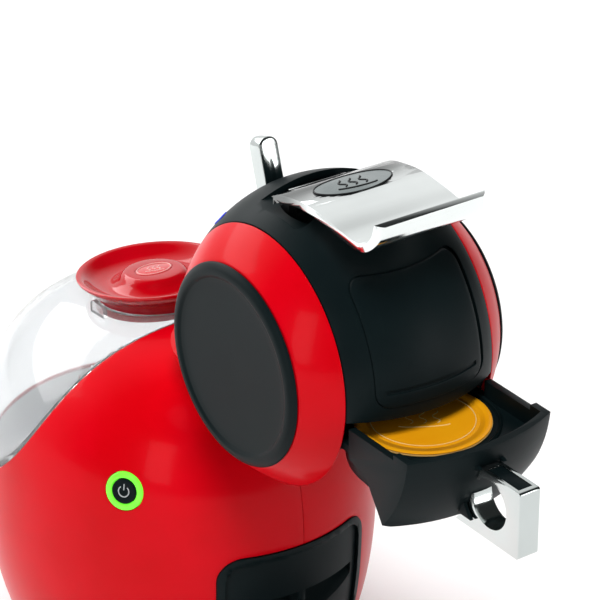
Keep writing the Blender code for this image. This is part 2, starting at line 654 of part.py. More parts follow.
# ---------------------------------------------------------------- locking handle and selector
def lock_handle():
    """Chrome bill over the head: a bent plate with an upturned lip and a hinge barrel behind."""
    rises = [(0.0085, -0.0015), (0.0020, 0.0018), (-0.0060, 0.0037), (-0.0170, 0.0049),
             (-0.0300, 0.0039), (-0.0410, 0.0023), (-0.0480, 0.0020), (-0.0530, 0.0036),
             (-0.0560, 0.0070), (-0.0572, 0.0128)]
    top = [(y, HEAD_R + z) for y, z in rises]
    under = []
    for i, (y, z) in enumerate(top):
        before = top[max(0, i - 1)]
        after = top[min(len(top) - 1, i + 1)]
        along = Vector((after[0] - before[0], after[1] - before[1])).normalized()
        under.append((y - along.y * HANDLE_THICK, z + along.x * HANDLE_THICK))
    heel = [(HINGE_Y - 0.0020, HINGE_Z - 0.0008), (HINGE_Y + 0.0016, HINGE_Z + 0.0024)]
    outline = heel + top + under[::-1]
    plate = prism("lock_handle", [(y + HEAD_Y, z + HEAD_Z) for y, z in outline], HANDLE_HALF,
                  "chrome")
    join(plate, rod("hinge_barrel", at_head(-BARREL_HALF, HINGE_Y, HINGE_Z),
                    at_head(BARREL_HALF, HINGE_Y, HINGE_Z), BARREL_R, sides=24))
    plan = box("handle_plan", at_head(-HANDLE_HALF + 0.0002, -0.0610, HEAD_R - 0.024),
               at_head(HANDLE_HALF - 0.0002, 0.0300, HEAD_R + 0.026), None, 2, HANDLE_CORNER, 5)
    keep(plate, plan)
    for side in (-1, 1):
        low, high = sorted((side * (BARREL_HALF + 0.0004), side * (HANDLE_HALF + 0.002)))
        cut(plate, box("heel_trim_%d" % side, at_head(low, 0.0060, HEAD_R - 0.024),
                       at_head(high, 0.030, HEAD_R - 0.0007)))
    cut(plate, rod("pin_bore", at_head(-0.04, HINGE_Y, HINGE_Z), at_head(0.04, HINGE_Y, HINGE_Z),
                   PIN_R + FIT / 2, sides=20))
    pose = (Matrix.Translation(at_head(0, -0.009, HEAD_R + 0.0043)) @ Matrix.Rotation(math.radians(-7), 4,
                                                                             "X"))
    cut(plate, to_cutter(badge("handle_badge_pocket", 0.0175 + GAP, 0.0095 + GAP, -0.0008, 0.003,
                               None, pose)))
    badge("handle_badge", 0.0175, 0.0095, -0.0008 + GAP, 0.0006, "badge_chrome", pose)
    rod("handle_pin", at_head(-0.0157, HINGE_Y, HINGE_Z), at_head(0.0157, HINGE_Y, HINGE_Z), PIN_R,
        "steel", 16)
    bracket = box("handle_bracket", at_head(-0.0180, HINGE_Y - 0.006, HINGE_Z - 0.0102),
                  at_head(0.0180, HINGE_Y + 0.006, HINGE_Z + 0.0038), "dark_plastic")
    keep(bracket, ball("bracket_head_gap", HEAD_R - HEAD_WALL - 2 * GAP))
    cut(bracket, box("barrel_way", at_head(-BARREL_HALF - 0.0004, HINGE_Y - 0.02, HINGE_Z - 0.0047),
                     at_head(BARREL_HALF + 0.0004, HINGE_Y + 0.02, HINGE_Z + 0.02)))
    cut(bracket, rod("bracket_bore", at_head(-0.04, HINGE_Y, HINGE_Z),
                     at_head(0.04, HINGE_Y, HINGE_Z), PIN_R + GAP, sides=20))


def selector():
    """Hot and cold lever in its slot, and the pivot pin it swings on."""
    turn = Matrix.Rotation(-LEVER_LEAN, 4, "X")
    lever = box("selector_lever", (-LEVER_WIDTH / 2, -LEVER_THICK / 2, -LEVER_TAIL),
                (LEVER_WIDTH / 2, LEVER_THICK / 2, LEVER_TOP - LEVER_PIVOT), "chrome", 1, 0.0042)
    lever.data.transform(Matrix.Translation(lever.location))
    lever.matrix_world = Matrix.Translation(lever_axis_point(LEVER_PIVOT)) @ turn
    cut(lever, rod("lever_bore", lever_axis_point(LEVER_PIVOT, -0.01),
                   lever_axis_point(LEVER_PIVOT, 0.01), 0.0016 + GAP, sides=20))
    rod("selector_pin", lever_axis_point(LEVER_PIVOT, -0.0070),
        lever_axis_point(LEVER_PIVOT, 0.0070), 0.0016, "steel", 16)


# ---------------------------------------------------------------- pod drawer
def drawer():
    """Black drawer standing open: bowed front, side walls, pod seat and a bowl with the outlet."""
    shift = -DRAWER_TRAVEL
    side = BAND_HALF - FIT
    skin = ball("drawer_front_skin", 1.0, FRONT_BOW, (0, shift, 0), 40)
    body = box("pod_drawer", at_head(-side, shift - 0.075, -DRAWER_DEPTH),
               at_head(side, shift - 0.018, -CUFF_DROP - GAP), "black_satin")
    keep(body, skin)
    inside = box("drawer_inside", at_head(-side + DRAWER_WALL, shift - 0.075, -0.2),
                 at_head(side - DRAWER_WALL, shift + 0.03, 0.2))
    lining = ball("drawer_front_lining", 1.0, inner_bow(FRONT_THICK), (0, shift, 0), 40)
    cut(body, to_cutter(bake(keep(inside, lining))))
    cut(body, box("side_wall_step", at_head(-side - 0.01, shift - 0.046, -STEP_DOWN),
                  at_head(side + 0.01, shift + 0.03, 0.02)))
    under = ((-0.0412, -0.060), (-0.0412, -0.0425), (-0.0340, -0.0317), (-0.0275, -0.0238),
             (-0.0146, -0.0208), (0.010, -0.0208), (0.010, -0.060))
    cut(body, prism("side_wall_slope", [(HEAD_Y + shift + y, HEAD_Z + z) for y, z in under],
                    side + 0.01))
    pod_at = Vector((0, POD_Y, HEAD_Z))
    seat = box("pod_seat_plate", at_head(-side + 0.0002, shift - 0.058, SEAT_BOTTOM),
               at_head(side - 0.0002, shift + 0.010, SEAT_TOP))
    keep(seat, skin)
    join(body, to_cutter(bake(seat)))
    foot = POD_Z - CUP_DEPTH
    bowl = turned("pod_bowl", [(0.0305, SEAT_TOP - 0.0007), (0.0295, foot + 0.0105),
                               (0.0258, foot + 0.005), (0.0222, foot + 0.0005),
                               (0.0185, foot - 0.0045), (0.0060, foot - 0.0070),
                               (0.0060, foot - 0.0040), (0.0, foot - 0.0040),
                               (0.0, SEAT_TOP - 0.0007)], None, Matrix.Translation(pod_at), 40)
    join(body, bowl)
    well = turned("pod_well", [(0.0, 0.01), (POD_R - 0.0008, 0.01),
                               (POD_R - 0.0008, SEAT_BOTTOM + 0.001),
                               (CUP_FOOT_R + 0.0013, foot - FIT), (0.0, foot - FIT)], None,
                  Matrix.Translation(pod_at), 40)
    cut(body, well)
    cut(body, rod("outlet", pod_at + Vector((0, 0, -0.06)), pod_at + Vector((0, 0, foot + 0.001)),
                  0.0035, sides=20))
    join(body, grip_mount())
    return body


def inner_bow(thick):
    """The drawer front's ellipsoid moved in by a thickness."""
    return tuple(v - thick for v in FRONT_BOW)


def grip_mount():
    """Forked lug on the drawer's front that holds the grip and clears its finger hole."""
    half = GRIP_THICK / 2
    mount = box("grip_mount", at_head(-half - 0.0018, 0.021 - GRIP_REACH, GRIP_BOTTOM + 0.0048),
                at_head(half + 0.0018, 0.035 - GRIP_REACH, GRIP_TOP + 0.0011), None, 0, 0.002)
    cut(mount, ball("mount_lining", 1.0, inner_bow(FRONT_THICK / 2), (0, -DRAWER_TRAVEL, 0), 40))
    cut(mount, box("mount_grip_gap", at_head(-half - GAP, -0.2, -0.06),
                   at_head(half + GAP, -0.05, 0.0)))
    cut(mount, rod("mount_hole_gap", at_head(-0.02, *GRIP_HOLE), at_head(0.02, *GRIP_HOLE),
                   GRIP_HOLE_R + 0.0035, sides=40))
    return to_cutter(bake(mount))


def pod():
    """Loose pod: moulded cup and its foil lid."""
    pod_at = Matrix.Translation((0, POD_Y, HEAD_Z))
    foot = POD_Z - CUP_DEPTH
    cup = [(POD_R, POD_Z - 0.0005), (POD_R, POD_Z - 0.0011), (POD_R - 0.0022, POD_Z - 0.0011),
           (CUP_FOOT_R, foot), (0.0, foot), (0.0, foot + CUP_WALL),
           (CUP_FOOT_R - CUP_WALL, foot + CUP_WALL), (POD_R - 0.0034, POD_Z - 0.0005)]
    turned("pod_cup", cup, "pod_body", pod_at, 40)
    rod("pod_lid", pod_at @ Vector((0, 0, POD_Z - 0.0002)), pod_at @ Vector((0, 0, POD_Z + 0.0002)),
        POD_R - 0.0002, "pod_foil", 48)


def drawer_grip():
    """Chrome block with a finger hole through it and a black inlay on top."""
    half = GRIP_THICK / 2
    block = box("drawer_grip", at_head(-half, -GRIP_REACH, GRIP_BOTTOM),
                at_head(half, 0.039 - GRIP_REACH, GRIP_TOP), "chrome", 0, 0.0012, 2)
    cut(block, ball("grip_front_gap", 1.0, tuple(v + GAP for v in FRONT_BOW),
                    (0, -DRAWER_TRAVEL, 0), 40))
    cut(block, box("grip_under_gap", at_head(-0.02, 0.037 - GRIP_REACH, -DRAWER_DEPTH - GAP),
                   at_head(0.02, 0.051 - GRIP_REACH, 0.0)))
    cut(block, rod("finger_hole", at_head(-0.02, *GRIP_HOLE), at_head(0.02, *GRIP_HOLE),
                   GRIP_HOLE_R, sides=40))
    inlay = (half - 0.0018, GRIP_REACH - 0.0030)
    cut(block, box("inlay_pocket", at_head(-inlay[0] - GAP, -inlay[1] - GAP, GRIP_TOP - 0.0010),
                   at_head(inlay[0] + GAP, 0.0210 - GRIP_REACH, GRIP_TOP + 0.01)))
    box("grip_inlay", at_head(-inlay[0], -inlay[1], GRIP_TOP - 0.0010 + GAP),
        at_head(inlay[0], 0.0210 - GAP - GRIP_REACH, GRIP_TOP), "black_satin")


# ---------------------------------------------------------------- ladder, tray, base
def slot_ceiling(row):
    """Height of a slot's upper edge, counted from the top row."""
    return LADDER_TOP - SLOT_DROP - row * SLOT_PITCH


def ladder():
    """Black front panel with rows of slots for hooking the drip tray."""
    panel = box("front_ladder", (-LADDER_HALF, -0.1, LADDER_BOTTOM),
                (LADDER_HALF, BODY_Y - 0.02, LADDER_TOP), "black_satin", 1, 0.0105)
    keep(panel, egg_solid("ladder_outside", -0.0006))
    cut(panel, egg_solid("ladder_inside", LADDER_DEPTH, SKIRT_Z - 0.01))
    for row in range(SLOT_COUNT):
        top = slot_ceiling(row)
        for side in (-1, 1):
            low, high = sorted((side * RIB_HALF, side * SLOT_HALF))
            front = on_body(0, top).y
            cut(panel, box("slot_%d_%d" % (row, side), (low, front - 0.02, top - SLOT_HEIGHT),
                           (high, front + SLOT_REACH, top)))


def drip_tray():
    """Round tray with two hooks that reach into the lowest pair of slots, and its grid."""
    slot_top = slot_ceiling(SLOT_COUNT - 1)
    bottom = slot_top - SLOT_HEIGHT + FIT
    top = bottom + TRAY_DEPTH
    front = on_body(0, top).y - 0.0015
    centre = Vector((0, front - TRAY_R, 0))
    hook_end = on_body(0, slot_top).y + SLOT_REACH - 0.002
    profile = [(TRAY_R, top), (TRAY_R - 0.003, bottom), (0.0, bottom), (0.0, bottom + WALL),
               (TRAY_R - 0.0052, bottom + WALL), (TRAY_R - 0.0038, top - GRID_THICK - 0.001),
               (TRAY_R - 0.0022, top - GRID_THICK - 0.001), (TRAY_R - 0.0022, top)]
    tray = turned("drip_tray", profile, "black_satin", Matrix.Translation(centre), 40)
    for side in (-1, 1):
        low, high = sorted((side * (RIB_HALF + 0.006), side * (SLOT_HALF - 0.006)))
        join(tray, box("tray_hook_%d" % side, (low, front - 0.0125, bottom + 0.0004),
                       (high, hook_end, bottom + 0.0054)))
    grid = rod("drip_grid", centre + Vector((0, 0, top - GRID_THICK - 0.0007)),
               centre + Vector((0, 0, top - 0.0007)), TRAY_R - 0.0022 - GAP, "black_satin", 40)
    for i in range(-5, 6):
        x = i * 0.0078
        reach = math.sqrt((TRAY_R - 0.0085) ** 2 - x ** 2)
        cut(grid, box("grid_slot_%d" % i, (x - 0.0022, centre.y - reach, 0),
                      (x + 0.0022, centre.y + reach, 0.2)))


def base():
    """Black base dish closing the body, four feet and the supply cord's inlet bush."""
    middle = Matrix.Translation((0, BODY_Y, 0))
    profile = [(0.0555, BASE_TOP), (0.058, 0.018), (BASE_R, 0.0065), (BASE_R - 0.002, FOOT_HEIGHT),
               (0.0, FOOT_HEIGHT), (0.0, FOOT_HEIGHT + WALL), (BASE_R - 0.0045, 0.0065),
               (0.0555, 0.018), (0.053, BASE_TOP)]
    plate = turned("base_plate", profile, "dark_plastic", middle, BODY_SIDES, STRETCH)
    bush_y = BODY_Y + 0.0665
    cut(plate, rod("bush_hole", (0, bush_y - 0.02, 0.0145), (0, bush_y + 0.02, 0.0145), 0.0048,
                   sides=24))
    for i, (x, y) in enumerate(((-1, -1), (1, -1), (-1, 1), (1, 1))):
        spot = (x * 0.036, BODY_Y + y * 0.046)
        rod("foot_%d" % (i + 1), (*spot, 0.0), (*spot, FOOT_HEIGHT - GAP), FOOT_R, "rubber", 24)
    bush = rod("cord_inlet", (0, bush_y - 0.004, 0.0145), (0, bush_y + 0.0085, 0.0145), 0.0045,
               "rubber", 24)
    cut(bush, rod("cord_hole", (0, bush_y - 0.02, 0.0145), (0, bush_y + 0.03, 0.0145), 0.0031,
                  sides=20))


# ---------------------------------------------------------------- power button
def power_button():
    pose = normal_frame(BUTTON_AT, BUTTON_OUT)
    turned("power_button", [(0.0, 0.0005), (BUTTON_R - 0.0006, 0.0005), (BUTTON_R, 0.0),
                            (BUTTON_R, -0.0060), (0.0, -0.0060)], "black_satin", pose, 28)
    turned("button_lens", [(BUTTON_R + GAP, 0.0003), (LENS_R - 0.0005, 0.0003), (LENS_R, -0.0002),
                           (LENS_R, -0.0048), (BUTTON_R + GAP, -0.0048)], "green_light", pose, 28)
    turned("button_spring", [(BUTTON_R - 0.0010, -0.0077), (BUTTON_R - 0.0010, -0.0095),
                             (BUTTON_R - 0.0026, -0.0095), (BUTTON_R - 0.0026, -0.0077)], "steel",
           pose, 24)
    board = box("control_board", (-0.017, -0.013, -0.0114), (0.017, 0.013, -0.0098), "board")
    board.data.transform(Matrix.Translation(board.location))
    board.matrix_world = pose


# ---------------------------------------------------------------- works inside the body
def works():
    """Chassis wall, pump with its coil and mounts, heater block and the water hoses."""
    y = BODY_Y
    box("chassis", (-0.026, y - 0.0510, 0.050), (0.026, y - 0.0480, 0.120), "dark_plastic")
    box("heater_block", (-0.024, y - 0.0465, 0.040), (0.024, y - 0.0205, 0.106), "cast", 2, 0.005)
    rod("thermostat", (0, y - 0.0202, 0.088), (0, y - 0.0150, 0.088), 0.0075, "steel", 24)
    axis = PUMP_Z
    shell = rod("pump_body", (0, y + 0.002, axis), (0, y + 0.058, axis), PUMP_R, "white_plastic", 28)
    cut(shell, rod("pump_bore", (0, y + 0.010, axis), (0, y + 0.070, axis), PISTON_BORE, sides=24))
    rod("pump_piston", (0, y + 0.014, axis), (0, y + 0.046, axis), PISTON_BORE - FIT, "steel", 20)
    coil = box("pump_coil", (-0.017, y + 0.014, axis - 0.017), (0.017, y + 0.044, axis + 0.017),
               "cast", 1, 0.003)
    cut(coil, rod("coil_bore", (0, y, axis), (0, y + 0.07, axis), PUMP_R + GAP, sides=28))
    for name, start in (("pump_mount_front", 0.004), ("pump_mount_rear", 0.050)):
        ring = rod(name, (0, y + start, axis), (0, y + start + 0.006, axis), 0.0150, "rubber", 28)
        cut(ring, rod(name + "_bore", (0, y, axis), (0, y + 0.07, axis), PUMP_R + GAP, sides=28))
    inlet = valve_at(-0.0095)
    tube("hose_tank_to_pump", ((0, inlet.y, inlet.z), (0, inlet.y + 0.010, inlet.z - 0.012),
                               (0, y + 0.068, axis + 0.018), (0, y + 0.0605, axis)), 0.0030,
         "rubber")
    tube("hose_pump_to_heater", ((0, y + 0.0010, axis), (0.002, y - 0.005, axis),
                                 (0.010, y - 0.013, 0.050), (0.012, y - 0.0195, 0.050)), 0.0025,
         "rubber")
    neck_y = HEAD_Y + NECK_HOSE_Y
    tube("hose_heater_to_head", ((0, y - 0.0345, 0.1067), (0, y - 0.0345, 0.117),
                                 (0, y - 0.046, 0.128), (0, neck_y + 0.008, 0.130),
                                 (0, neck_y, 0.142), (0, neck_y, 0.165),
                                 (0, neck_y, HEAD_Z - 0.036),
                                 (0, HEAD_Y + 0.034, HEAD_Z + 0.006),
                                 (0, HEAD_Y + 0.012, HEAD_Z + 0.0350),
                                 (0, HEAD_Y - 0.010, HEAD_Z + 0.0380),
                                 (0, HEAD_Y + POD_AXIS_Y, HEAD_Z + 0.0316)), HOSE_R, "rubber")


# ---------------------------------------------------------------- joints
def pivot(name, where, *nodes):
    """An empty on a joint's axis that carries the pieces moving with it."""
    carrier = bpy.data.objects.new(name, None)
    carrier.location = where
    carrier.empty_display_size = 0.01
    PARTS.objects.link(carrier)
    for node in nodes:
        piece = bpy.data.objects[node]
        piece.parent = carrier
        piece.matrix_parent_inverse = Matrix.Translation(where).inverted()
    return carrier


def joints():
    brew_axis = at_head(0, POD_AXIS_Y, 0)
    pivot("handle_axis", at_head(0, HINGE_Y, HINGE_Z), "lock_handle", "handle_badge")
    pivot("needle_axis", brew_axis, "needle_plate", "injection_needle", "pod_seal")
    pivot("selector_axis", lever_axis_point(LEVER_PIVOT), "selector_lever")
    pivot("drawer_axis", at_head(0, -DRAWER_TRAVEL, SEAT_TOP), "pod_drawer", "drawer_grip",
          "grip_inlay", "pod_cup", "pod_lid")
    pivot("tank_axis", valve_at(0), "tank_shell", "valve_body", "lid_clip")
    pivot("tank_valve_axis", valve_at(0), "valve_plunger")
    pivot("lid_axis", (0, BODY_Y + LID_BACK, LID_Z), "tank_lid", "lid_badge")
    tray = (0, on_body(0, LADDER_BOTTOM).y - TRAY_R, LADDER_BOTTOM)
    pivot("tray_axis", tray, "drip_tray")
    pivot("grid_axis", tray, "drip_grid")
    pivot("button_axis", BUTTON_AT, "power_button")
    pivot("piston_axis", (0, BODY_Y, PUMP_Z), "pump_piston")


# ---------------------------------------------------------------- build
FINISHES = {
    "red_gloss": ((0.55, 0.004, 0.012), 0.12),
    "black_satin": ((0.018, 0.024, 0.026), 0.34),
    "dark_plastic": ((0.03, 0.03, 0.032), 0.55),
    "white_plastic": ((0.75, 0.75, 0.72), 0.45),
    "clear_tank": ((0.86, 0.90, 0.90), 0.06, 0.0, 0.9),
    "chrome": ((0.80, 0.82, 0.82), 0.10, 1.0),
    "steel": ((0.62, 0.63, 0.64), 0.25, 1.0),
    "cast": ((0.45, 0.46, 0.47), 0.5, 1.0),
    "rubber": ((0.035, 0.035, 0.036), 0.8),
    "badge_red": ((0.60, 0.05, 0.06), 0.25),
    "badge_chrome": ((0.50, 0.53, 0.53), 0.25, 1.0),
    "pod_foil": ((0.82, 0.38, 0.02), 0.35),
    "pod_body": ((0.85, 0.84, 0.80), 0.5),
    "green_light": ((0.15, 0.80, 0.04), 0.4, 0.0, 0.0, 1.0),
    "blue_mark": ((0.02, 0.06, 0.60), 0.4),
    "red_mark": ((0.60, 0.02, 0.02), 0.4),
    "board": ((0.02, 0.20, 0.07), 0.5),
}

clear_scene()
PARTS = collection("pod_coffee_machine")
CUTTERS = collection("cutters")
BUTTON_AT = on_body(BUTTON_X, BUTTON_Z)
BUTTON_OUT = body_normal(BUTTON_AT)

side_shells()
tank()
tank_seat()
tank_valve()
tank_lid()
head_band()
visor()
rings_and_caps()
neck()
brew_unit()
lock_handle()
selector()
drawer()
pod()
drawer_grip()
ladder()
drip_tray()
base()
power_button()
works()
joints()
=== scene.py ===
"""Looks for the pod coffee machine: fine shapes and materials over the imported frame."""
import json
import math

import bmesh
import bpy
from mathutils import Matrix, Vector


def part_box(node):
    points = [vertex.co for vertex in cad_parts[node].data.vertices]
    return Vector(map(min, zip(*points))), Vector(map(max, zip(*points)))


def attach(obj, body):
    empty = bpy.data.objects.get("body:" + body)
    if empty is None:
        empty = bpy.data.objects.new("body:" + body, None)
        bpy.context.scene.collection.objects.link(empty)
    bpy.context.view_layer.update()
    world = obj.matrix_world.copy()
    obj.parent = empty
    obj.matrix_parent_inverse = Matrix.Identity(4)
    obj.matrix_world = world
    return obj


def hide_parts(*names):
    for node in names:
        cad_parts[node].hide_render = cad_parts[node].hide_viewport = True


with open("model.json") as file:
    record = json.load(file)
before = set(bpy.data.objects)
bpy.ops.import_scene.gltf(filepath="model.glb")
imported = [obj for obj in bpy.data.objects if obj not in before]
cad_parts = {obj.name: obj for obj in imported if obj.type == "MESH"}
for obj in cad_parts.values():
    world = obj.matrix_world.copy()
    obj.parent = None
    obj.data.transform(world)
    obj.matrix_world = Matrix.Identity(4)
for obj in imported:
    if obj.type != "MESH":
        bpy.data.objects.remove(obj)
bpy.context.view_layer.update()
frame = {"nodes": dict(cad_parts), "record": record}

# ---------------------------------------------------------------- sizes shared with the frame (metres)
GAP = 0.0003
FIT = 0.0006
WALL = 0.0024
STRETCH = 0.095 / 0.082          # the egg's depth over its width
EGG_HALF = 0.082
EGG_DEEP = 0.095
WAIST_Z = 0.115
RISE = 0.080
DROP = 0.125
CROWN_POWER = 2.8
KEEL_POWER = 2.3
SKIRT_Z = 0.0265
HEAD_R = 0.064
HEAD_WALL = 0.003
BAND_HALF = 0.0348
RING_OUT = 0.0486
CUFF = 0.006                     # band's lower front edge below the ball's centre
TRAVEL = 0.036                   # how far the drawer stands open
BOW = (0.072, 0.0625, 0.066)     # the drawer front's ellipsoid
BOW_THICK = 0.0034
DRAWER_DEEP = 0.0415
DRAWER_WALL = 0.003
GRIP_HALF = 0.00475
GRIP_HOLE = (-0.103, -0.0276)    # the finger hole's axis, from the ball's centre
GRIP_HOLE_R = 0.0103
ARC_R = 0.0805
TANK_WALL = 0.0022
LID_R = 0.0335
FILL_R = 0.026
LID_TILT = math.radians(7)
HANDLE_HALF = 0.027
HANDLE_THICK = 0.003
HINGE = (0.014, 0.0562)
PIN_R = 0.0016
LEVER_LEAN = math.radians(17)
LEVER_PIVOT = 0.030              # along the lever's line, as are the next two
LEVER_SLOT = 0.046
LEVER_TOP = HEAD_R + 0.0035
LEVER_TAIL = 0.004
LEVER_HALF = (0.0046, 0.0040)
BADGE_HALF = (0.0175, 0.0095)
LADDER_HALF = 0.037
LADDER_TOP = 0.1205
SLOT_HALF = 0.030
SLOT_HIGH = 0.013
SLOT_DROP = 0.0235
SLOT_PITCH = 0.025
SLOT_ROWS = 3
RIB_HALF = 0.0018
BUTTON_X = -0.0629
BUTTON_Z = 0.149
BUTTON_R = 0.0054
LENS_R = 0.0082


def middle(node):
    low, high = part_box(node)
    return (Vector(low) + Vector(high)) / 2


# Places read from the frame
HEAD = Vector((0, middle("cap_left").y, middle("cap_left").z))
BODY_Y = middle("base_plate").y
ARC_Y = BODY_Y + 0.063
ARC_Z = 0.197
POD = Vector((0, middle("pod_cup").y, HEAD.z))
LID = Vector((0, BODY_Y + 0.015, 0.1935))


def at_head(x, y, z):
    return HEAD + Vector((x, y, z))


# ---------------------------------------------------------------- materials
def nodes_of(name):
    made = bpy.data.materials.new(name)
    made.use_nodes = True
    tree = made.node_tree
    return made, tree, tree.nodes["Principled BSDF"]


def link(tree, source, out, target, socket):
    tree.links.new(source.outputs[out], target.inputs[socket])


def noise(tree, scale, detail=3.0, stretch=(1, 1, 1)):
    """Noise in object space, so that it holds still on the piece."""
    where = tree.nodes.new("ShaderNodeTexCoord")
    mapping = tree.nodes.new("ShaderNodeMapping")
    mapping.inputs["Scale"].default_value = stretch
    texture = tree.nodes.new("ShaderNodeTexNoise")
    texture.inputs["Scale"].default_value = scale
    texture.inputs["Detail"].default_value = detail
    link(tree, where, "Object", mapping, "Vector")
    link(tree, mapping, "Vector", texture, "Vector")
    return texture


def tint(tree, shader, texture, first, second, low=0.35, high=0.65):
    ramp = tree.nodes.new("ShaderNodeValToRGB")
    ramp.color_ramp.elements[0].position = low
    ramp.color_ramp.elements[0].color = (*first, 1)
    ramp.color_ramp.elements[1].position = high
    ramp.color_ramp.elements[1].color = (*second, 1)
    link(tree, texture, "Fac", ramp, "Fac")
    link(tree, ramp, "Color", shader, "Base Color")


def vary_roughness(tree, shader, texture, low, high):
    span = tree.nodes.new("ShaderNodeMapRange")
    span.inputs["To Min"].default_value = low
    span.inputs["To Max"].default_value = high
    link(tree, texture, "Fac", span, "Value")
    link(tree, span, "Result", shader, "Roughness")


def bump(tree, shader, texture, strength, distance):
    relief = tree.nodes.new("ShaderNodeBump")
    relief.inputs["Strength"].default_value = strength
    relief.inputs["Distance"].default_value = distance
    link(tree, texture, "Fac", relief, "Height")
    link(tree, relief, "Normal", shader, "Normal")


def finish(name, first, second, rough, grain=(900, 0.1, 0.00002), stretch=(1, 1, 1), **fixed):
    """A surface whose colour and roughness drift a little and whose grain is a fine bump."""
    made, tree, shader = nodes_of(name)
    drift = noise(tree, 28, 4, stretch)
    fine = noise(tree, grain[0], 2, stretch)
    tint(tree, shader, drift, first, second)
    vary_roughness(tree, shader, drift, *rough)
    bump(tree, shader, fine, grain[1], grain[2])
    for socket, value in fixed.items():
        shader.inputs[socket.replace("_", " ")].default_value = value
    return made


def make_materials():
    kit = {}
    kit["red"] = finish("red_gloss", (0.60, 0.0, 0.004), (0.66, 0.0, 0.007), (0.30, 0.34),
                        (300, 0.02, 0.00002), Specular_IOR_Level=0.06, Coat_Weight=0.14,
                        Coat_Roughness=0.10, Coat_IOR=1.4)
    kit["red_lid"] = finish("red_lid_gloss", (0.46, 0.0, 0.004), (0.54, 0.0, 0.007), (0.20, 0.26),
                            (300, 0.02, 0.00002), Specular_IOR_Level=0.10, Coat_Weight=0.80,
                            Coat_Roughness=0.04, Coat_IOR=1.45)
    kit["black"] = finish("black_satin", (0.0035, 0.0075, 0.0085), (0.0050, 0.0100, 0.0110),
                          (0.40, 0.46), (2600, 0.12, 0.00004), Specular_IOR_Level=0.09)
    kit["dark"] = finish("dark_plastic", (0.012, 0.013, 0.014), (0.020, 0.021, 0.022),
                         (0.48, 0.60), (1800, 0.2, 0.00005))
    kit["white"] = finish("white_plastic", (0.74, 0.75, 0.75), (0.80, 0.81, 0.80), (0.38, 0.5),
                          (1400, 0.1, 0.00004))
    kit["chrome"] = finish("chrome", (0.58, 0.62, 0.61), (0.63, 0.67, 0.66), (0.10, 0.14),
                           (900, 0.02, 0.000004), Metallic=1.0)
    kit["bill"] = bill_metal()
    kit["badge"] = finish("badge_metal", (0.24, 0.28, 0.28), (0.44, 0.48, 0.48), (0.20, 0.3),
                          (500, 0.1, 0.00005), Metallic=1.0)
    kit["steel"] = finish("brushed_steel", (0.52, 0.53, 0.54), (0.66, 0.67, 0.68), (0.22, 0.36),
                          (700, 0.25, 0.00005), (1, 14, 1), Metallic=1.0)
    kit["cast"] = finish("cast_alloy", (0.36, 0.37, 0.38), (0.48, 0.49, 0.50), (0.45, 0.62),
                         (420, 0.5, 0.0002), Metallic=1.0)
    kit["rubber"] = finish("rubber", (0.016, 0.016, 0.017), (0.028, 0.028, 0.029), (0.7, 0.85),
                           (900, 0.4, 0.0001))
    kit["foil"] = finish("pod_foil", (0.92, 0.36, 0.004), (0.98, 0.44, 0.008), (0.26, 0.36),
                         (220, 0.25, 0.0001), Specular_IOR_Level=0.35)
    kit["foil_mark"] = finish("foil_mark", (0.90, 0.66, 0.26), (0.94, 0.72, 0.34), (0.3, 0.42))
    kit["cup"] = finish("pod_plastic", (0.70, 0.42, 0.12), (0.76, 0.48, 0.16), (0.4, 0.5))
    kit["badge_red"] = finish("badge_red", (0.62, 0.02, 0.025), (0.70, 0.03, 0.035), (0.18, 0.26),
                              (300, 0.05, 0.0001), Coat_Weight=0.8, Coat_Roughness=0.05)
    kit["badge_line"] = finish("badge_line", (0.86, 0.42, 0.40), (0.92, 0.50, 0.47), (0.25, 0.35))
    kit["icon"] = finish("icon_grey", (0.42, 0.45, 0.46), (0.50, 0.53, 0.54), (0.3, 0.4))
    kit["blue"] = finish("cold_blue", (0.004, 0.02, 0.55), (0.006, 0.03, 0.62), (0.2, 0.3))
    kit["hot"] = finish("hot_red", (0.6, 0.006, 0.006), (0.66, 0.01, 0.01), (0.2, 0.3))
    kit["board"] = finish("circuit_board", (0.01, 0.12, 0.04), (0.02, 0.20, 0.07), (0.35, 0.5),
                          (1200, 0.3, 0.0001))
    kit["clear"] = clear_plastic()
    kit["green"] = lit_lens()
    return kit


def bill_metal():
    """Bright plated metal with painted shade: its colour darkens towards the hinge, a painted dark
    reflection.
    """
    made, tree, shader = nodes_of("bill_chrome")
    drift = noise(tree, 28, 4)
    tint(tree, shader, drift, (0.84, 0.88, 0.87), (0.90, 0.94, 0.93))
    vary_roughness(tree, shader, drift, 0.10, 0.14)
    shader.inputs["Metallic"].default_value = 1.0
    # Painted shade: a ramp along Y multiplies the base colour down to 0.22 near the hinge, standing in
    # for a dark reflection
    where = tree.nodes.new("ShaderNodeTexCoord")
    split = tree.nodes.new("ShaderNodeSeparateXYZ")
    hinge_painted_shade = tree.nodes.new("ShaderNodeMapRange")
    hinge_painted_shade.interpolation_type = "SMOOTHSTEP"
    for socket, value in zip(("From Min", "From Max", "To Min", "To Max"),
                             (HEAD.y - 0.0230, HEAD.y - 0.0010, 1.0, 0.22)):
        hinge_painted_shade.inputs[socket].default_value = value
    mix = tree.nodes.new("ShaderNodeMix")
    mix.data_type = "RGBA"
    mix.blend_type = "MULTIPLY"
    mix.inputs[0].default_value = 1.0
    colour = shader.inputs["Base Color"].links[0].from_socket
    link(tree, where, "Object", split, "Vector")
    link(tree, split, "Y", hinge_painted_shade, "Value")
    link(tree, hinge_painted_shade, "Result", mix, 7)       # 6 and 7 are the colours A and B
    tree.links.new(colour, mix.inputs[6])
    link(tree, mix, 2, shader, "Base Color")
    return made


